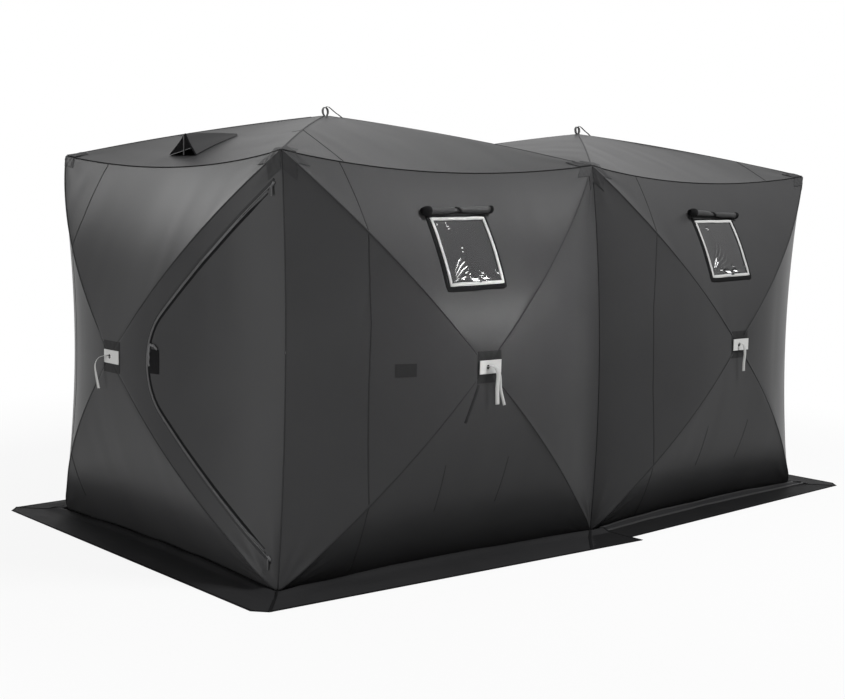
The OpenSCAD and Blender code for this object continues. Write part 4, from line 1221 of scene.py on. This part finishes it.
# The raised strip along the crumple takes the pale zip-tape colour as a painted highlight.
crumple_highlight = cloth_strip(left_end, crumple_highlight_line, CRUMPLE_STRIP_W, CRUMPLE_STRIP_H, CRUMPLE_STRIP_LIFT, CRUMPLE_STRIP_GAP)
put_on(strips_piece("door_handle_loop", [crumple_highlight], zip_tape), "webbing", body=DOOR)
patch_puff = partial(puff, low=patch_low, high=patch_high, rise=SIDE_PATCH_RISE)
for wall in outer_walls:
    patch_cut = flat_cut([rectangle(patch_low, patch_high, 25, 17)])
    side_patch = hang(patch_cut, wall, wall.name + "_side_patch", hub_cloth, 0.0004, patch_puff)
    finish_sheet(side_patch, "cover_cloth", "stretched", (0.091, 0.055))

# %% [markdown]
# ## Zip sliders
# A slider with a hanging pull parks at each end of the zip. It is modelled as by hand: a cube is scaled
# and its edges bevelled, a second cube makes the pull, and a short bail joins them.

# %% Two sliders
SLIDER_U, SLIDER_LIFT, PULL_OUT = 0.862, 0.0042, 0.007


def bevelled_box(size, middle, bevel):
    bpy.ops.object.select_all(action="DESELECT")
    bpy.ops.mesh.primitive_cube_add(size=1.0, location=(0.0, 0.0, 0.0))
    piece = bpy.context.object
    bpy.ops.object.mode_set(mode="EDIT")
    bpy.ops.mesh.select_all(action="SELECT")
    bpy.ops.transform.resize(value=size)
    bpy.ops.mesh.bevel(offset=bevel, segments=2, affect="EDGES")
    bpy.ops.transform.translate(value=middle)
    bpy.ops.object.mode_set(mode="OBJECT")
    return piece


def axes_matrix(*axes):
    return Matrix(np.column_stack(axes).tolist()).to_4x4()


for name, up in (("upper", 1), ("lower", -1)):
    spot_uv = np.array([SLIDER_U, up * float(door_half(SLIDER_U, 0.0))])
    at, out = on_cloth(left_end, spot_uv, SLIDER_LIFT)
    slope = np.array([math.cos(DOOR_SLOPE), up * math.sin(DOOR_SLOPE), 0.0]) @ directions(left_end)
    way = unit(slope - out * slope.dot(out))
    body_part = bevelled_box((0.011, 0.022, 0.006), (0.0, 0.0, 0.0), 0.0016)
    bail = bevelled_box((0.005, 0.012, 0.0035), (0.0, 0.0, 0.0042), 0.001)
    for part in (body_part, bail):
        part.data.transform(Matrix.Translation(Vector(at)) @ axes_matrix(np.cross(way, out), way, out))
    pull = bevelled_box((0.009, 0.046, 0.002), (0.0, -0.024, 0.0), 0.0008)
    hanging = axes_matrix((0.0, -1.0, 0.0), (0.0, 0.0, 1.0), (-1.0, 0.0, 0.0))
    pull.data.transform(Matrix.Translation(Vector(at) - Vector((PULL_OUT, 0.0, 0.0))) @ hanging)
    slider = join_pieces([body_part, bail, pull], "zip_slider_" + name)
    slider.data.materials.append(zip_metal)
    put_on(slider, "hub_plastic")
print("sliders made")

# %% [markdown]
# ## Finishes of the CAD parts
# Poles, hubs, joints, plates and the prop keep their CAD shape and take the moulded materials.

# %% Materials of the CAD parts
cad_finishes = {"poles": pole_fibre, "hubs": hub_plastic, "joints": hub_plastic, "hub_plates": plate_plastic,
                "vent_prop": prop_plastic}
for name, node in cad_nodes.items():
    for ending, material in cad_finishes.items():
        if name.endswith(ending):
            node.data.materials.clear()
            node.data.materials.append(material)
print("CAD parts finished")

# %% [markdown]
# ## Light, floor and background
# Soft boxes stand round the shelter, as in a product photo. Three of them are placed where a satin panel
# mirrors them towards the camera: one behind lights up the top of the door end, a low one at the left
# lights the door, and a small one with a narrow grid, low at the right, lights the panel above the front
# left hub. The floor and the world look white to the camera and in reflections, and the floor still takes
# the shelter's shadow.

# %% Soft boxes
bpy.context.scene.view_settings.view_transform = "Standard"


def soft_box(name, place_at, aim, width, height, watts):
    data = bpy.data.lights.new(name, "AREA")
    data.shape = "RECTANGLE"
    data.size, data.size_y, data.energy = width, height, watts
    lamp = add_object(name, data)
    lamp.location = place_at
    lamp.rotation_euler = (Vector(aim) - Vector(place_at)).to_track_quat("-Z", "Y").to_euler()
    return lamp


soft_box("overhead_box", (0.0, 0.0, 6.0), (0.0, 0.0, 0.0), 7.0, 5.0, 60.0)
soft_box("front_right_box", (1.9, -4.4, 6.2), (0.0, -0.9, 1.2), 2.2, 1.8, 410.0)
soft_box("camera_box", (-6.0, -5.0, 3.0), (-1.0, -0.6, 1.0), 3.0, 2.5, 40.0)
soft_box("end_top_box", (-2.4, 4.4, 3.6), (-1.85, -0.3, 1.55), 2.2, 1.6, 50.0)
soft_box("door_box", (-6.7, -2.0, 0.8), (-1.85, -0.75, 0.95), 1.6, 1.4, 110.0)
grid_box = soft_box("top_panel_box", (3.3, -5.4, 1.9), (-0.9, -1.05, 1.28), 1.0, 0.6, 2.0)
grid_box.data.spread = math.radians(14)
soft_box("back_box", (3.5, 6.0, 1.0), (0.9, 0.0, 0.9), 3.0, 1.6, 150.0)
print("soft boxes placed")

# %% World and floor
FLOOR_GREY, FLOOR_SIZE = 0.86, 60.0
FADE_FROM, FADE_TO, FADE_SHARE = 2.6, 5.0, 0.9
INSIDE_X, INSIDE_Y = 1.93, 1.0


def seen_directly(tree):
    """1 where a ray comes from the camera, a reflection or through film, and 0 for other light."""
    path = tree.nodes.new("ShaderNodeLightPath").outputs
    mirrored = add_math(tree, "MAXIMUM", path["Is Camera Ray"], path["Is Glossy Ray"])
    return add_math(tree, "MAXIMUM", mirrored, path["Is Transmission Ray"])


world = bpy.data.worlds.new("studio")
bpy.context.scene.world = world
world.use_nodes = True
sky = world.node_tree.nodes["Background"]
sky.inputs["Color"].default_value = (1.0, 1.0, 1.0, 1.0)
world.node_tree.links.new(seen_directly(world.node_tree), sky.inputs["Strength"])

floor_material = bpy.data.materials.new("pale_floor")
floor_material.use_nodes = True
tree = floor_material.node_tree
tree.nodes.remove(tree.nodes["Principled BSDF"])
matt = add_node(tree, "ShaderNodeBsdfDiffuse", {"Color": (FLOOR_GREY, FLOOR_GREY, FLOOR_GREY, 1.0)})
glow = add_node(tree, "ShaderNodeEmission", {"Strength": 1.0})
spot = add_node(tree, "ShaderNodeTexCoord").outputs["Object"]
far = add_node(tree, "ShaderNodeVectorMath", {0: spot}, operation="LENGTH").outputs["Value"]
fade = add_node(tree, "ShaderNodeMapRange", {
    "Value": far, "From Min": FADE_FROM, "From Max": FADE_TO, "To Min": FADE_SHARE, "To Max": 1.0,
}, interpolation_type="SMOOTHSTEP")
axes = add_node(tree, "ShaderNodeSeparateXYZ", {0: spot}).outputs
within = [add_math(tree, "LESS_THAN", add_math(tree, "ABSOLUTE", axes[axis]), half_size)
          for axis, half_size in (("X", INSIDE_X), ("Y", INSIDE_Y))]
open_floor = add_math(tree, "SUBTRACT", 1.0, add_math(tree, "MULTIPLY", *within))
lit = add_math(tree, "MULTIPLY", fade.outputs["Result"], open_floor)
share = add_math(tree, "MULTIPLY", seen_directly(tree), lit)
mixed = add_node(tree, "ShaderNodeMixShader", {"Fac": share, 1: matt.outputs[0], 2: glow.outputs[0]})
tree.links.new(mixed.outputs[0], tree.nodes["Material Output"].inputs["Surface"])
bpy.ops.object.select_all(action="DESELECT")
bpy.ops.mesh.primitive_plane_add(size=FLOOR_SIZE, location=(0.0, 0.0, 0.0))
floor = bpy.context.object
floor.name = "studio_floor"
floor.data.materials.append(floor_material)
print("studio lit")
